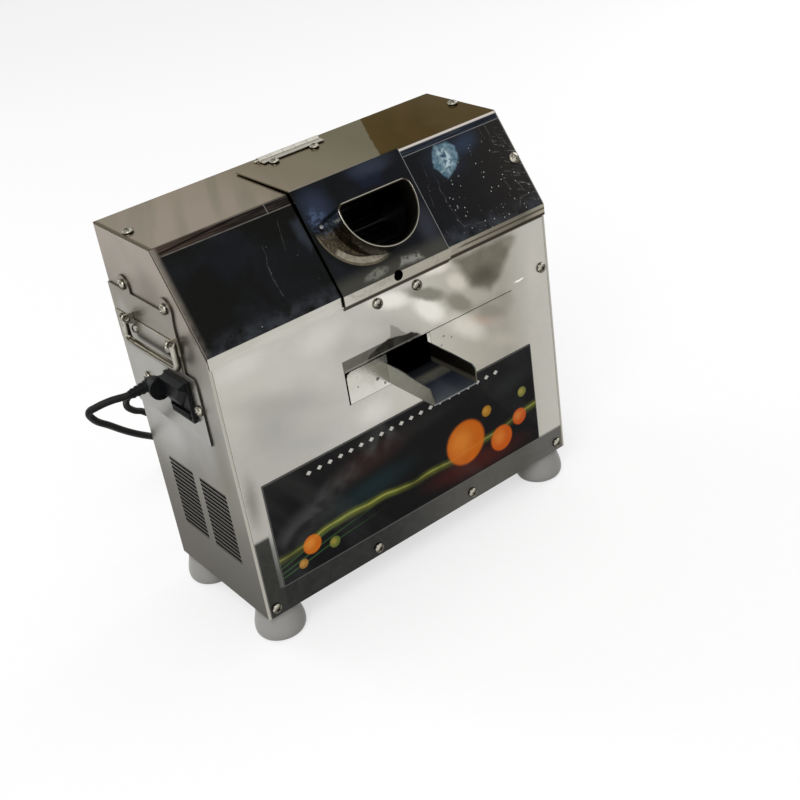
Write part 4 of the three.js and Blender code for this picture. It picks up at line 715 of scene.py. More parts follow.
def frontSteel():
    paint = Paint("frontMirror")
    x, _, z = paint.spots()
    ny = paint.facing()[1]
    flat = paint.vector(x, z)
    warped = flat.stir(7, 0.022)
    torn = flat.stir(2.5, 0.07)
    mottled = flat.noise(0.09, 4, 0.6, 0.8)
    # the front's colours are painted reflections of a room in the polished panel: the gradient, the soft patches
    # and the streaks below
    colour = (x / (2 * cabinet["halfWidth"]) + 0.5).ramp(
        (0, 190, 187, 178), (0.3, 192, 190, 183), (0.55, 190, 187, 178), (0.72, 172, 168, 156),
        (0.84, 160, 156, 145), (0.93, 184, 181, 173), (1, 188, 185, 177))
    colour = colour.over(z.rise(215, 150) * x.rise(-20, -120) * 0.5, 160, 158, 152)
    colour = colour.patches(
        warped, 0.9,
        (-134, 176, 34, 40, 20, 0.5, 152, 151, 146), (-104, 186, 26, 26, 0, 0.4, 168, 166, 161),
        (-150, 236, 38, 20, 0, 0.7, 208, 205, 199), (-72, 230, 34, 18, 6, 0.75, 210, 207, 201),
        (-36, 143, 26, 16, 0, 0.7, 214, 212, 205), (112, 146, 34, 12, -24, 0.5, 184, 177, 164),
        (90, 176, 26, 10, -20, 0.55, 176, 152, 138), (152, 132, 14, 30, 0, 0.6, 184, 180, 171),
        (160, 200, 14, 40, 0, 0.7, 192, 188, 178), (-30, 214, 26, 12, -10, 0.5, 208, 206, 198),
        (118, 186, 22, 10, -30, 0.6, 142, 138, 127))
    # painted reflections as bright and dark streaks: both ends, width, softness, share and colour
    for x0, z0, x1, z1, width, soft, share, *shade in (
            (-190, 216, -52, 164, 15, 1, 0.5, 160, 158, 151),
            (-150, 150, -70, 138, 12, 1, 0.6, 170, 168, 163),
            (-26, 243, 22, 223, 9, 0.7, 0.95, 232, 229, 220), (18, 225, 54, 191, 11, 0.7, 0.9, 234, 231, 222),
            (50, 195, 96, 157, 12, 0.8, 0.8, 216, 211, 200), (12, 236, 58, 212, 7, 0.6, 0.9, 126, 123, 111),
            (54, 214, 86, 187, 9, 0.6, 0.85, 126, 123, 110), (82, 190, 126, 168, 10, 0.8, 0.8, 134, 130, 118),
            (-166, 84, -164, 150, 9, 1, 0.65, 112, 111, 100),
            (30, 246, 66, 240, 8, 0.7, 0.85, 226, 220, 209), (58, 232, 80, 212, 8, 0.7, 0.7, 214, 207, 194)):
        colour = colour.over(torn.sweep(x0, z0, x1, z1, width * 1.15, soft) * share, *shade)
    # painted reflections: a dark block at the upper right, with patches near it and a small bright painted
    # highlight
    block = torn.polygon([
        (67.5, 243), (134.8, 240.5), (145.2, 227.5), (116.7, 206.8), (108.9, 196.4), (85.6, 209.4)], 5)
    # painted reflection of the outlet's tray and spout, mirrored above the opening, with its dark hollow and a grey
    # wedge
    mirrored = z.near(194, 5.2, 0.08) * x.rise(-58.6, -57.8) * x.rise(-2, -10)
    gloom = torn.polygon([(-31, 193), (-10, 199.6), (14.6, 196.4), (25, 188), (-35, 188)], 0.8)
    wedge = torn.polygon([(-5.5, 211.4), (10.9, 197.2), (-8, 199)], 0.8)
    low = z.rise(26.5, 23) * (0.8 + x.rise(110, -60) * 0.18)
    leftLow = x.rise(-157.2, -159.2) * z.rise(81, 77)
    under = x.near(8, 56, 0.02)
    colour = colour.layers(
        (block * 0.92, mottled.mix((94, 90, 77), (116, 112, 99))),
        (torn.patch(100, 215, 24, 15, -8) * 0.8, 78, 74, 63),
        (torn.patch(131, 234, 13, 7, -20) * 0.6, 146, 141, 127),
        (torn.patch(138.7, 194.4, 6, 1.3, 2, 0.4) * 0.95, 250, 246, 236),
        (mirrored * 0.94, mottled.mix((74, 71, 63), (104, 101, 92))),
        (gloom * 0.96, mottled.rise(0.4, 0.6).mix((26, 24, 19), (52, 49, 41))),
        (wedge * 0.75, 138, 135, 126),
        (z.near(189.9, 0.45) * x.near(-12, 45, 0.02) * 0.6, 160, 157, 147),
        (low, mottled.mix((22, 22, 22), (52, 53, 52))),
        (x.rise(-153, -156) * z.rise(84, 64) * 0.85, z.rise(64, 34).mix((112, 114, 112), (54, 55, 54))),
        (leftLow * 0.97, mottled.mix((42, 42, 40), (62, 62, 58))),
        # a painted highlight along the left edge, then painted shadow under the hood's lip
        (x.rise(-171.6, -173.6) * 0.55, 208, 206, 198),
        ((z + under * 1.4).rise(242.7, 243.5) * x.rise(-49, -47) * 0.94, 46, 41, 34))
    for dotX, dotZ, radius in ((48, 178, 1.5), (56, 172.6, 1.2), (44, 169.8, 1.3)):
        colour = colour.over(torn.patch(dotX, dotZ, radius, radius, 0, 0.4) * 0.7, 84, 78, 66)
    colour = colour.over(flat.specks(14, 0.5, 0.07, 8) * 0.4, 226, 222, 212)
    # the colour is mottled, and faces that do not face forward are painted darker as shade
    colour = colour.mottle(mottled, 0.1).mottle(flat.noise(*sheetGrain), 0.07).over(ny.rise(-0.5, -0.2), 96, 94, 88)
    heights = paint.coords().noise(13, 2, 0.45)
    around = flat.patch(-20, 196, 58, 26, 0, 0.5)
    return paint.finish(
        colour, mottled * 0.04 + 0.285 + around * 0.1, 1 - around * 0.75, (heights, 0.3, 0.006), gloss=0.1)


# louvre slots of the side panels: middle and reach of the field and of its two columns
louvres = {
    "y": (73.4, 50), "z": (80.7, 37.5), "columns": ((47.4, 21.2), (100.5, 20.1)), "top": 115.9, "pitch": 4.67,
}


def sideSteel(name, shift=1, edge=True):
    paint = Paint(name)
    _, y, z = paint.spots()
    nx = paint.facing()[0]
    flat = paint.vector(y, z)
    # the side's colours are painted reflections of a room, darker towards the bottom and the rear
    colour = (z / 335).ramp(
        (0, 92, 89, 82), (0.12, 106, 103, 96), (0.25, 123, 120, 112), (0.4, 150, 147, 140),
        (0.5, 168, 167, 163), (0.7, 164, 161, 152), (0.84, 157, 150, 140), (1, 171, 162, 152))
    stirred = flat.stir(4, 0.03)
    corner = flat.polygon([(0, 240), (20.5, 284.5), (49, 330.5), (40, 345), (-20, 300)], 0.8)
    colour = colour.layers(
        (y.rise(70, 140) * z.rise(140, 30) * 0.5, 106, 101, 96),
        (flat.patch(16, 150, 24, 80, 4) * 0.65, 128, 125, 111),
        (flat.patch(98, 150, 60, 26, 0) * 0.5, 167, 167, 165),
        (stirred.patch(72, 290, 34, 26, -20) * 0.6, 122, 115, 106),
        (stirred.patch(112, 306, 34, 16, 10) * 0.5, 166, 158, 149),
        (corner * 0.6, 160, 152, 142))
    # painted shade: dark lines just below the hood's sloping edge
    for hoodEdgeShade in ((20.5, 284.5, 49, 330.5), (12, 262, 20.5, 284.5)):
        colour = colour.over(flat.stroke(*hoodEdgeShade, 1.2) * 0.7, 84, 72, 60)
    clouds = flat.noise(0.03, 3, 0.5, 0.8)
    colour = paint.shade(colour, ((clouds - 0.5) * 0.26 + 1) * shift)
    colour = colour.mottle(flat.noise(*sheetGrain), 0.08)
    # painted highlight along the front edge
    colour = colour.over(y.rise(2.2, 0.8) * 0.7, 206, 203, 192)
    if edge:
        sharp = 0.02
        holes = y.near(*louvres["y"], sharp) * z.near(*louvres["z"], sharp)
        rim = nx.size().rise(0.75, 0.4)
        # shade above each slot
        step = ((z - louvres["top"]) / louvres["pitch"] + 60).calc("FRACT")
        left, right = (y.near(*column, sharp) for column in louvres["columns"])
        shade = step.rise(0.48, 0.3) * (left + right).least(1) * z.near(82, 36, sharp)
        # edge faces are painted light as a highlight, and near black as painted shade inside the louvre slots
        colour = colour.layers(
            (rim, holes.mix((176, 173, 163), (9, 8, 7))),
            (shade * (1 - rim) * 0.85, 34, 30, 24))
    heights = paint.coords().noise(10, 2, 0.4)
    dulled = flat.patch(116, 148, 50, 46, -40, 0.6)
    return paint.finish(colour, clouds * 0.1 + 0.38, 1 - dulled * 0.8, (heights, 0.2, 0.004), tint=0.75)


def plateSteel(name, panes, edgeShade):
    # sheet parts of the handle side, painted with reflections of a room; panes are rows for patches of painted
    # reflection, in y and z
    paint = Paint(name)
    _, y, z = paint.spots()
    nx = paint.facing()[0]
    flat = paint.vector(y, z)
    colour = (z / 335).ramp(
        (0.5, 168, 167, 163), (0.66, 168, 165, 156), (0.76, 154, 150, 140), (0.84, 142, 137, 127))
    clouds = flat.noise(0.045, 3, 0.5, 0.6)
    colour = colour.patches(flat, 0.4, *panes).mottle(clouds, 0.3).mottle(flat.noise(*sheetGrain), 0.1)
    colour = colour.over(nx.size().rise(0.8, 0.45), edgeShade)
    return paint.finish(colour, clouds * 0.1 + 0.28, 1, None, tint=0.75)


def brightSteel(name, stops, lean=(-0.55, -0.25, 0.75), scale=1, rough=0.16):
    # rods and screw heads: bands of a room seen in small curved steel
    paint = Paint(name)
    nx, ny, nz = paint.facing()
    where = paint.coords()
    broken = where.noise(260 * scale, 3, 0.6)
    turned = nx * lean[0] + ny * lean[1] + nz * lean[2] + (broken - 0.5) * 0.4
    colour = (turned * 0.5 + 0.5).ramp(*stops)
    return paint.finish(colour, broken * 0.16 + rough, 1, (where.noise(900, 2), 0.15, 0.0004), tint=0.7)


# feed tube: its place on the lid, its section and its ends off the slanted face
tube = {"x": 8.3, "along": 53.6, "radius": 37, "flat": 11.3, "corner": 7.5, "wall": 1.6, "low": 2.8, "high": 24.8}


def tubeSteel():
    paint = Paint("tubeSteel")
    x, y, z = paint.spots()
    nx, ny, nz = paint.facing()
    off = (z - cabinet["slantLow"]) * upY - y * upZ
    where = paint.coords()
    mottled = where.noise(75, 4, 0.65, 1.6)
    dx = x - tube["x"]
    along = y * upY + (z - cabinet["slantLow"]) * upZ - tube["along"]
    turn = along.calc("ARCTAN2", dx)
    broken = paint.vector(turn * 9, off * 0.16, x * 0.01).noise(1, 3, 0.55, 0.7)
    # painted reflections: the wall's bands, lighter low down and darker near the top; flash is a painted highlight
    wall = broken.ramp(
        (0.28, 20, 18, 13), (0.4, 48, 43, 33), (0.47, 26, 23, 17), (0.55, 92, 84, 67),
        (0.6, 40, 36, 28), (0.68, 122, 112, 92), (0.76, 54, 50, 42))
    # the side facing right takes an even painted mid tone, and the inside is painted darker with depth as shade
    right = nx.rise(0, 0.8)
    flash = mottled.rise(0.62, 0.7) * off.near(9, 7, 0.4)
    outward = nx * dx + (ny * upY + nz * upZ) * along
    inside = outward.rise(2, -2)
    depth = off.rise(2, 25)
    lit = nx.rise(0.3, -0.75).mix((16, 16, 14), (58, 56, 47))
    hollowShade = (depth * 0.9).mix((7, 7, 6), lit)
    wall = wall.layers(
        (right * 0.6, 74, 70, 62),
        (flash * 0.6, 176, 166, 146),
        (off.rise(6.5, 4) * mottled.rise(0.35, 0.55) * 0.7, 136, 128, 108),
        (off.rise(20.5, 23.5) * 0.5, 60, 56, 47),
        (inside, hollowShade))
    # the rim's outer edge is a painted highlight, and its inner part is darker
    rim = (nz * upY - ny * upZ).rise(0.55, 0.8) * off.rise(23.5, 24.4)
    radial = (dx * dx + along * along).calc("SQRT")
    outer = (radial - tube["radius"]).most(along - tube["flat"]).rise(-1.1, -0.5)
    colour = rim.mix(wall, outer.mix((52, 48, 40), (166, 161, 148)))
    rough = paint.node("Mix", {0: inside, 2: mottled * 0.15 + 0.18, 3: 0.5}, data_type="FLOAT")
    return paint.finish(colour, rough, 1, (mottled, 0.2, 0.0006))


def traySteel():
    paint = Paint("traySteel")
    x, y, z = paint.spots()
    nx, _, nz = paint.facing()
    where = paint.coords()
    clouds = where.noise(34, 3, 0.6, 0.8)
    fine = where.noise(220, 4, 0.7)
    apron = (z / 40 - 3.75).ramp(
        (0, 212, 210, 202), (0.35, 208, 206, 198), (0.6, 200, 198, 189), (0.8, 204, 202, 193), (1, 168, 164, 154))
    apron = apron.over(clouds.rise(0.5, 0.68) * 0.25, 148, 145, 135)
    front = paint.vector(x, z)
    for dotX, dotZ, radius in ((-26.6, 169.4, 1.9), (-19.7, 162.6, 1.5), (-47, 171, 1), (40, 165, 1)):
        dot = front.stir(1.2, 0.3).patch(dotX, dotZ, radius, radius, 0, 0.4)
        apron = apron.over(dot * 0.8, 66, 60, 49)
    outer = (y / -60).ramp((0, 152, 151, 141), (0.5, 146, 145, 135), (1, 132, 131, 121))
    # painted shade: the inner walls are dark, lighter low down
    inner = (y / -60).ramp((0, 18, 16, 12), (0.5, 24, 22, 17), (1, 38, 35, 28))
    inner = inner.over(z.rise(167.5, 164.5) * 0.9, 100, 96, 83)
    # the floor is painted dark towards the cabinet as shade, with a lighter and a bluish band
    floor = (y / -60).ramp(
        (0, 22, 24, 28), (0.2, 50, 52, 56), (0.3, 116, 114, 103), (0.42, 104, 103, 95), (0.5, 46, 52, 64),
        (0.8, 62, 67, 76), (1, 78, 82, 88))
    lipShade = z.rise(161.4, 162.2).mix((120, 122, 124), (92, 89, 78))
    apron = apron.over(y.rise(-20, -30), lipShade)
    outside = nx.rise(0.2, -0.2) * x.rise(20, 4) + nx.rise(-0.2, 0.2) * x.rise(4, 20)
    colour = nx.size().rise(0.5, 0.8).mix(apron, outside.mix(inner, outer))
    # inside the cabinet the tray is painted near black as shade
    colour = colour.layers((nz.rise(0.5, 0.8), floor), (y.rise(6, 30), 22, 22, 20)).mottle(fine, 0.1)
    metal = y.rise(-0.6, -2) * -0.45 + 1
    return paint.finish(colour, clouds * 0.12 + 0.2, metal, (fine, 0.12, 0.0004), gloss=0.15, tint=0.35)


def labelFilm():
    # a printed film of a generic design: round lamps of warm light and a wave on charcoal
    paint = Paint("labelFilm")
    x, _, z = paint.spots()
    flat = paint.vector(x, z)
    ground = ((z - 24) / 104).ramp(
        (0, 10, 10, 12), (0.35, 12, 12, 13), (0.65, 16, 15, 15), (1, 24, 23, 23))
    mist = flat.noise(0.02, 3, 0.5, 1)
    ground = ground.patches(
        flat, 0.9,
        (-46, 100, 58, 20, 6, 0.4, 62, 40, 36), (-50, 72, 64, 18, 4, 0.45, 26, 50, 54),
        (66, 38, 84, 18, -3, 0.8, 66, 24, 18), (-112, 66, 34, 20, 0, 0.35, 44, 46, 44),
        (118, 100, 34, 16, 10, 0.35, 44, 48, 47), (14, 108, 60, 12, 3, 0.4, 40, 40, 39))
    pale = flat.stir(8, 0.02).stroke(-150, 60, -20, 122, 20, 1)
    sway = paint.vector(x * 0.011, z * 0.004).noise(1, 2, 0.4) - 0.5
    line = z - 56.5 - sway * 34 - x * 0.03
    fade = paint.vector(x * 0.02, z * 0.01).noise(1, 2).rise(0.34, 0.6)
    ground = ground.layers(
        (pale * mist.rise(0.36, 0.62) * 0.22, 110, 112, 110),
        (line.near(0, 3.2, 0.9) * (0.2 + fade * 0.5), 104, 110, 44),
        (line.near(0.6, 0.9, 0.8) * (0.25 + fade * 0.5), 150, 150, 74))
    for level, slope in ((34, 0.1), (38.5, 0.14), (44, 0.19)):
        thin = (z - level - (x + 150) * slope - sway * 10).near(0, 0.5, 0.9) * x.rise(-30, -120)
        ground = ground.over(thin * 0.5, 72, 116, 62)
    for middleX, middleZ, radius, share, *shade in (
            (56, 64, 24, 0.85, 208, 104, 18), (98, 48, 14, 0.85, 206, 92, 20),
            (122, 60, 9, 0.8, 198, 84, 24), (84, 84, 6, 0.6, 196, 140, 44),
            (-120, 50, 10, 0.8, 206, 106, 22), (-98, 40, 6, 0.6, 112, 124, 54),
            (-132, 36, 5, 0.6, 186, 132, 58), (128, 84, 5.5, 0.5, 150, 154, 76)):
        disc = flat.patch(middleX, middleZ, radius, radius, 0, 0.16)
        coreRadius = radius * 0.85
        core = flat.patch(middleX - radius * 0.2, middleZ + radius * 0.15, coreRadius, coreRadius)
        ground = ground.layers(
            (disc * share, paint.shade(tuple(shade), mist * 0.5 + 0.7)),
            (core * 0.4, paint.blend(0.5, tuple(shade), (236, 180, 84))))
    # a row of small pale diamonds along the upper border
    step = (x + 115).calc("PINGPONG", 5.5)
    gem = ((5.5 - step) * 0.8 + (z - 117.6).size()).rise(2.5, 2) * x.rise(-118, -117) * x.rise(108, 107)
    sheen = paint.vector(x * 0.02 + z * 0.014, z * 0.006).noise(1, 3, 0.5).rise(0.5, 0.72)
    border = (x + 154.5).least(144 - x).least(z - 24.5).least(127.3 - z)
    ground = ground.layers(
        (gem * 0.8, 206, 203, 196),
        (sheen * 0.07, 120, 122, 120),
        (border.rise(1.1, 0.5) * 0.7, 92, 92, 90))
    wrinkle = flat.noise(0.05, 3, 0.5, 0.5)
    return paint.finish(ground, mist * 0.12 + 0.24, 0, (wrinkle, 0.3, 0.002), gloss=0.05)


def mouldedPlastic(name, colour, edge, rough=0.42, gloss=0.2):
    paint = Paint(name)
    where = paint.coords()
    speck = where.noise(900, 3, 0.6)
    dust = where.noise(38, 4, 0.6).rise(0.52, 0.75)
    base = (dust * 0.25).mix(colour, edge).over(paint.worn(0.52, 0.6) * 0.5, edge)
    return paint.finish(base, (speck - 0.5) * 0.1 + rough + dust * 0.12, 0, (speck, 0.18, 0.0003), gloss=gloss)


def footPlastic():
    paint = Paint("footPlastic")
    z = paint.spots()[2]
    where = paint.coords()
    cloud = where.noise(40, 3, 0.5)
    nx, ny, nz = paint.facing()
    # painted light and shade: lighter where the bell faces up, left and forward, and darker at the top under the
    # cabinet
    colour = ((nz * 0.4 - nx * 0.4 - ny * 0.2) * 0.5 + 0.5 + (cloud - 0.5) * 0.1).ramp(
        (0.2, 92, 91, 89), (0.5, 120, 119, 116), (0.8, 146, 145, 141))
    colour = colour.layers(
        (z.rise(-7, -0.5) * 0.5, 96, 95, 90),
        (z.rise(-26, -29) * 0.4, 110, 108, 102))
    fine = where.noise(700, 2)
    return paint.finish(colour, cloud * 0.1 + 0.3, 0, (fine, 0.1, 0.0003), gloss=0.25)


def cordRubber():
    paint = Paint("cordRubber")
    where = paint.coords()
    scuffs = where.noise(160, 4, 0.65)
    nx, _, nz = paint.facing()
    # painted light and shade: the lead is lighter where it faces up and left
    colour = (nz * 0.6 - nx * 0.2 + (scuffs - 0.5) * 0.5).rise(0.1, 0.8).mix((32, 32, 31), (78, 77, 73))
    z = paint.spots()[2]
    colour = colour.over(z.rise(168, 196) * 0.8, 16, 16, 16)
    return paint.finish(colour, scuffs * 0.2 + 0.4, 0, (scuffs, 0.15, 0.0004), gloss=0.1)


def machinedSteel(name, light, dark, rings=0, metal=1, gloss=0.5):
    paint = Paint(name)
    where = paint.coords()
    cloud = where.noise(45, 4, 0.6)
    fine = where.noise(420, 3, 0.7)
    colour = cloud.rise(0.3, 0.7).mix(dark, light).mottle(fine, 0.3)
    height = fine
    if rings:
        height = fine + paint.node("TexWave", {"Vector": where, "Scale": rings, "Distortion": 0.4, "Detail": 2}, 1)
    colour = colour.over(paint.worn(0.51, 0.57) * 0.4, light)
    return paint.finish(colour, cloud * 0.2 + 0.28, metal, (height, 0.2, 0.0004), gloss=gloss)


finishes = {
    "hood": foldedSteel("hoodMirror", False),
    "lid": foldedSteel("lidMirror", True),
    "front": frontSteel(),
    "side": sideSteel("sideSteel"),
    "rear": sideSteel("rearSteel", 0.95, False),
    "servicePlate": plateSteel("servicePlate", (
        (82, 268, 66, 14, 0, 0.9, 146, 141, 131), (70, 242, 60, 14, 0, 0.7, 176, 174, 166),
        (128, 236, 16, 40, 0, 0.7, 168, 167, 161), (92, 204, 60, 26, 0, 0.7, 174, 173, 167)
    ), (88, 84, 74)),
    "gripPlate": plateSteel("gripPlate", (
        (84, 250, 46, 8, 0, 0.6, 176, 174, 164), (112, 240, 26, 16, 0, 0.6, 160, 158, 148),
        (56, 238, 18, 14, 0, 0.6, 128, 124, 113)
    ), (156, 152, 142)),
    "screw": brightSteel("screwSteel", [
        (0, 20, 18, 14), (0.4, 52, 48, 40), (0.54, 130, 125, 112), (0.64, 50, 46, 38), (0.76, 140, 136, 123),
        (0.86, 196, 192, 180), (0.93, 92, 88, 76), (1, 150, 146, 134)], rough=0.24),
    "rod": brightSteel("rodSteel", [
        (0, 26, 24, 19), (0.5, 46, 43, 36), (0.66, 74, 70, 60), (0.76, 150, 147, 136), (0.82, 190, 187, 176),
        (0.87, 88, 84, 73), (0.95, 62, 58, 49), (1, 96, 92, 80)], scale=0.25, rough=0.22),
    "hinge": brightSteel("hingeSteel", [
        (0, 34, 31, 26), (0.5, 84, 79, 69), (0.7, 146, 140, 129), (0.82, 186, 181, 170), (0.92, 212, 208, 198),
        (1, 156, 150, 139)], (-0.3, -0.6, 0.65), 0.4),
    "tube": tubeSteel(),
    "tray": traySteel(),
    "label": labelFilm(),
    "plastic": mouldedPlastic("blackPlastic", (13, 14, 14), (34, 35, 34), 0.42, 0.06),
    "connector": mouldedPlastic("connectorPlastic", (13, 14, 15), (40, 41, 40), 0.36, 0.06),
    "foot": footPlastic(),
    "cord": cordRubber(),
    "roller": machinedSteel("rollerSteel", (58, 57, 53), (38, 37, 34), 60),
    "gear": machinedSteel("gearSteel", (128, 128, 128), (66, 66, 66), 40),
    "casting": machinedSteel("castAluminium", (142, 146, 150), (98, 102, 106), 0, 0.6),
    "motor": machinedSteel("motorShell", (112, 116, 122), (74, 78, 84), 25, 0.7),
    "bearing": machinedSteel("bearingSteel", (170, 172, 176), (112, 113, 116), 30),
    "cheek": machinedSteel("cheekSteel", (20, 19, 17), (14, 13, 12), 0, 0, 0.02),
    "pan": machinedSteel("panSteel", (96, 94, 89), (60, 59, 55)),
    "chute": machinedSteel("chuteSteel", (46, 45, 41), (32, 31, 28)),
    "fan": mouldedPlastic("fanPlastic", (120, 122, 126), (150, 151, 152)),
}
print("finishes mixed")


# mains lead: the same route as the CAD solids, and a coil on the floor behind the machine
lead = {
    "radius": 3.1, "length": 1.74, "exit": (-186.4, 84.3, 209.5), "lift": 0.4,
    "coilTurns": 5, "coilInner": 27.8, "coilPitch": 6.8, "coilPlace": (-30, 236), "perTurn": 20, "climb": 0.7,
    # sideways and up from the exit, and back from the rear face
    "fall": (
        (-5.1, -57.5, -3), (-18.6, -52.5, -6.5), (-33.8, -47.5, -6.8), (-45.7, -42.5, -9.6), (-49.8, -38.5, -12.8),
        (-46.5, -32.5, -23.6), (-30.7, -22.5, -41.8), (-10.7, -9.5, -63.6), (11.7, 5.5, -85), (33.8, 16.5, -102.8),
        (48.4, 23.5, -110.5), (55.4, 31.5, -107.5), (43.5, 37.5, -97), (34.3, 40.5, -89), (25.4, 42.5, -80.3),
        (17.5, 43.5, -75.5), (13.5, 45.5, -69), (17.8, 47.5, -63.5), (26.9, 49.5, -63.3), (38.9, 52.5, -70),
        (51.4, 56.5, -84.5), (58.4, 58.5, -109.5)),
}


def leadRoute():
    x0, y0, z0 = lead["exit"]
    coilX, coilY = lead["coilPlace"]
    depth = cabinet["depth"]
    low = cabinet["floor"] + lead["radius"] + lead["lift"]
    high = low + 2 * lead["radius"] + 1
    half = lead["coilTurns"] / 2
    startX = coilX - lead["coilInner"] - lead["coilPitch"] * half
    route = [lead["exit"], (x0, y0 + 2.5, z0)]
    route += [(x0 + dx, depth + dy, z0 + dz) for dx, dy, dz in lead["fall"]]
    route += [
        (-127, depth + 57.5, 30), (-119, depth + 52.5, -4), (-103, coilY - 42, low + 2), (-88, coilY - 38, low),
        (startX - 1.5, coilY - 24, low), (startX, coilY - 10, low)]
    for i in range(lead["perTurn"] * lead["coilTurns"] + 1):
        # the coil winds inwards in its lower layer and outwards again in its upper one
        turn = i / lead["perTurn"]
        radius = lead["coilInner"] + lead["coilPitch"] * (half - min(turn, lead["coilTurns"] - turn))
        t = min(max((turn - half + lead["climb"] / 2) / lead["climb"], 0), 1)
        angle = math.pi - 2 * math.pi * turn
        route.append((
            coilX + radius * math.cos(angle), coilY + radius * math.sin(angle),
            low + t * t * (3 - 2 * t) * (high - low)))
    return route + [(startX, coilY + 23, high), (startX, coilY + 46, high)]


def makeLead():
    curve = bpy.data.curves.new("mainsLead", "CURVE")
    curve.dimensions = "3D"
    route = leadRoute()
    line = curve.splines.new("BEZIER")
    line.bezier_points.add(len(route) - 1)
    for point, place in zip(line.bezier_points, route):
        point.co = spot(*place)
        point.handle_left_type = point.handle_right_type = "AUTO"
    line.resolution_u = 6
    curve.bevel_depth = lead["radius"] / 1000
    curve.bevel_resolution = 4
    curve.use_fill_caps = True
    curve.materials.append(finishes["cord"])
    piece = addObject("mainsLead", curve)
    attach(piece, "cabinet")
    return standFor(piece, "power_cord", "cord_coil")


relief = {"length": 24, "thick": 5.9, "thin": 3.75, "rings": 25, "rib": 0.45, "inset": 0.2, "smooth": 3}


def makeRelief():
    # the ribbed sleeve that tapers from the connector's neck on to the lead
    route = [Vector(p) for p in leadRoute()[:7]]
    path = [start.lerp(end, k / 4) for start, end in zip(route, route[1:]) for k in range(4)]
    gone = [0]
    for start, end in zip(path, path[1:]):
        gone.append(gone[-1] + (end - start).length)
    points, radii = [], []
    last = relief["rings"] - 1
    for k in range(relief["rings"]):
        reach = relief["length"] * k / last
        i = min(max(j for j in range(len(gone)) if gone[j] <= reach), len(path) - 2)
        points.append(path[i].lerp(path[i + 1], (reach - gone[i]) / (gone[i + 1] - gone[i])))
        ribbed = relief["smooth"] <= k <= last - relief["smooth"] and k % 4 < 2
        taper = (relief["thin"] - relief["thick"]) * k / last
        radii.append(relief["thick"] + taper + relief["rib"] * ribbed - relief["inset"])
    mesh = joinShapes("leadRelief", [swept(points, radii, 28, False)])
    piece = addPiece("leadRelief", mesh, finishes["connector"], "cabinet", 40)
    return piece


mainsLead = makeLead()
sleeve = makeRelief()
connector = dressNode("cord_connector", finishes["connector"], 0.7, 3, 24)
plug = dressNode("mains_plug", finishes["connector"], 0.6, 3, 24)
tuple(spot(*lead["exit"]))
print("mains lead laid")


# fasteners
screw = {
    "radius": 4.75, "height": 3.4, "rim": 0.9, "shank": 6.8, "shankRadius": 1.9,
    "crossWidth": 1.25, "crossReach": 2.5, "crossDeep": 1.6, "crossTaper": 0.72,
}


def crossBar(wide, deep):
    top, low = screw["height"] + 0.5, screw["height"] - screw["crossDeep"]
    return loft([
        [(x * wide * scale, y * deep * scale, z) for x, y in ((-1, -1), (1, -1), (1, 1), (-1, 1))]
        for scale, z in ((screw["crossTaper"], low), (1, top))])


def screwMaster():
    radius, rim, shank = screw["radius"], screw["rim"], screw["shankRadius"]
    profile = [
        (0, -screw["shank"]), (shank - 0.4, -screw["shank"]), (shank, 0.5 - screw["shank"]), (shank, 0.3),
        (radius - 0.25, 0.3), (radius, 0.55), (radius, rim)]
    arc = [math.pi / 2 * k / 8 for k in range(1, 9)]
    profile += [(radius * math.cos(a), rim + (screw["height"] - rim) * math.sin(a)) for a in arc]
    body = joinShapes("screwBody", [turned(profile, (0, 0, 0), (0, 0, 1), 40)])
    reach, half = screw["crossReach"], screw["crossWidth"] / 2
    cross = joinShapes("screwCross", [crossBar(reach, half), crossBar(half, reach)])
    for mesh in (body, cross):
        rework(mesh, faceOut)
    master, knife = addObject("screwBody", body), addObject("screwCross", cross)
    carve = master.modifiers.new("cross", "BOOLEAN")
    carve.operation = "DIFFERENCE"
    carve.solver = "EXACT"
    carve.use_self = True
    carve.object = knife
    bpy.context.view_layer.update()
    shape = bpy.data.meshes.new_from_object(master.evaluated_get(bpy.context.evaluated_depsgraph_get()))
    shape.transform(Matrix.Translation(-spot(0, 0, 0)))
    for made in (master, knife):
        bpy.data.objects.remove(made)
    return shape


screwMesh = screwMaster()


def addScrew(name, place, axis, turn, node=None, size=1, body="cabinet"):
    mesh = screwMesh.copy()
    mesh.name = name
    basis = Matrix(axes(axis)).transposed().to_4x4()
    spin = Matrix.Rotation(math.radians(turn), 4, "Z")
    mesh.transform(Matrix.Translation(spot(*place)) @ basis @ spin @ Matrix.Scale(size, 4))
    piece = addPiece(name, mesh, finishes["screw"], body, 38)
    if node:
        standFor(piece, node)


plateFace = -(cabinet["halfWidth"] + 0.3 + 1.5)
screwRows = {
    ("front_screw_", (0, -1, 0)): {
        "low_left": (-165.9, 0, 8.1), "low_mid_left": (-54.9, 0, 8.1), "low_mid_right": (56.5, 0, 8.1),
        "low_right": (165.9, 0, 8.1), "side": (165.9, 0, 196), "top_left": (-14.4, 0, 235.1),
        "top_right": (27.4, 0, 235.1)},
    ("top_screw_", (0, 0, 1)): {
        "left": (-167.4, 100, cabinet["height"]), "right": (167.4, 100, cabinet["height"])},
    ("plate_screw_", (-1, 0, 0)): {
        "ear_front": (plateFace, 48, 283.8), "ear_rear": (plateFace, 116, 285.2),
        "low_front": (plateFace, 29.8, 199.1), "low_rear": (plateFace, 114.1, 200.4)},
}
turn = 17
for (start, axis), places in screwRows.items():
    for end, place in places.items():
        addScrew(start + end + "_head", place, axis, turn, start + end)
        turn += 37
addScrew("slant_screw_right", slantPlace(169.2, 46.6, 0), (0, -upZ, upY), 40, None, 1.12)
print("screws set")


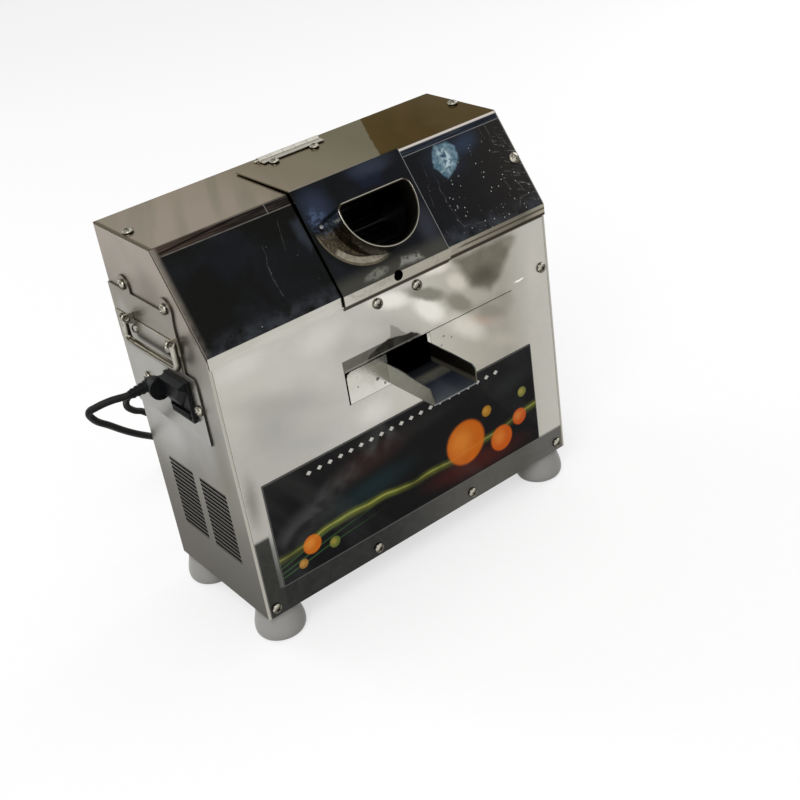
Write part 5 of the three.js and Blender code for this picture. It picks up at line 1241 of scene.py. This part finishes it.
# feet
foot = {
    "x": 156, "frontY": 19, "rearY": 134,
    "profile": (
        (0, -29), (15, -29), (15.6, -28.2), (18.2, -28.2), (18.6, -29), (19.6, -28.8), (21.2, -27.6), (22.2, -25.6),
        (22.6, -23.4), (22.6, -20.4), (22.2, -17.4), (21.4, -14), (20.5, -10.6), (19.7, -7.2), (19.1, -4),
        (18.6, -1.6), (18.2, -0.8), (17.4, -0.35), (0, -0.35)),
}


def makeFoot(name, x, y):
    mesh = joinShapes(name, [turned(foot["profile"], (x, y, 0), (0, 0, 1), 72)])
    standFor(addPiece(name + "_bell", mesh, finishes["foot"], "cabinet", 50), name)


for side, x in (("left", -foot["x"]), ("right", foot["x"])):
    makeFoot("foot_front_" + side, x, foot["frontY"])
    makeFoot("foot_rear_" + side, x, foot["rearY"])
print("feet turned")


# feed tube


def tubeLoop(inset, off):
    # a D: a wide arc, closed by a flat with two rounded corners
    radius, flat, corner = (tube[k] - inset for k in ("radius", "flat", "corner"))
    cv = flat - corner
    cu = math.sqrt((radius - corner) ** 2 - cv ** 2)
    start = math.atan2(cv, cu)
    bend = [math.pi / 2 + (start - math.pi / 2) * k / 12 for k in range(13)]
    wide = [start - (math.pi + 2 * start) * k / 72 for k in range(1, 72)]
    loop = [(0, flat)]
    loop += [(cu + corner * math.cos(a), cv + corner * math.sin(a)) for a in bend]
    loop += [(radius * math.cos(a), radius * math.sin(a)) for a in wide]
    loop += [(-cu - corner * math.cos(a), cv + corner * math.sin(a)) for a in bend[::-1]]
    return [slantPlace(tube["x"] + u, tube["along"] + v, off) for u, v in loop]


def makeTube():
    low, high, wall = tube["low"], tube["high"], tube["wall"]
    rings = [
        (0, low), (0, 5), (0, 12), (0, high - 1.6), (0, high - 0.5), (0.12, high - 0.15), (0.4, high),
        (wall - 0.4, high), (wall - 0.12, high - 0.15), (wall, high - 0.5), (wall, high - 1.6), (wall, 12),
        (wall, low)]
    mesh = joinShapes("feedTube", [loft([tubeLoop(*ring) for ring in rings], True)])
    standFor(addPiece("feedTube", mesh, finishes["tube"], "lid", 50), "feed_tube")


makeTube()
print("feed tube made")


# handles
handle = {"radius": 3, "frontY": 34, "rearY": 116, "pivotZ": 259, "drop": 20.8, "corner": 5.5, "pin": 8.5}


def makeHandle(node, x, body):
    radius, front, rear, pivot = (handle[k] for k in ("radius", "frontY", "rearY", "pivotZ"))
    low, high = pivot - handle["drop"], pivot + 0.4
    corners = [(x, front, high), (x, front, low), (x, rear, low), (x, rear, high)]
    shapes = [swept(roundedPath(corners, handle["corner"], 10), radius, 24)]
    for start in (front, rear - handle["pin"]):
        pin = [(x, start + handle["pin"] * k / 2, pivot) for k in range(3)]
        shapes.append(swept(pin, radius - 1, 20))
    standFor(addPiece(node + "_rod", joinShapes(node, shapes), finishes["rod"], body, 60), node)


makeHandle("left_handle", -183.7, "left_bail")
makeHandle("right_handle", 181.9, "right_bail")
print("handles hung")


# pieces that keep the shape of their solid, with eased edges
for finish, names, *edge in (
        ("gripPlate", "left_handle_plate right_handle_plate", 0.25), ("servicePlate", "service_plate", 0.2),
        ("plastic", "power_inlet", 0.8, 3), ("plastic", "rocker_switch", 0.4, 3),
        ("hinge", "hinge_leaf_lid hinge_leaf_hood", 0.15), ("hinge", "hinge_pin", 0.3),
        ("tray", "juice_tray", 0.15)):
    for name in names.split():
        dressNode(name, finishes[finish], *edge)
for name, x, y, turn in (("hinge_screw_left", -15, 119.4, 25), ("hinge_screw_right", 26, 118.4, 70)):
    addScrew(name, (x, y, cabinet["height"] + 2.3), (0, 0, 1), turn, None, 0.92, "lid")
print("plates and plastics dressed")


# solids that only take a finish
for finish, names in {
        "hood": "hood", "lid": "lid_flap", "front": "front_panel", "side": "left_side_panel right_side_panel",
        "rear": "rear_panel", "pan": "base_pan motor_cradle", "label": "front_label",
        "cheek": "left_bearing_cheek right_bearing_cheek",
        "bearing": "bearing_lower_left bearing_lower_right bearing_upper_left bearing_upper_right",
        "roller": "lower_roller upper_roller", "gear": "lower_roller_gear upper_roller_gear main_gear drive_pinion",
        "casting": "gearbox", "motor": "motor", "fan": "motor_fan", "chute": "feed_ramp bagasse_chute"}.items():
    for name in names.split():
        nodes[name].material_slots[0].material = finishes[finish]
print("cabinet coated")
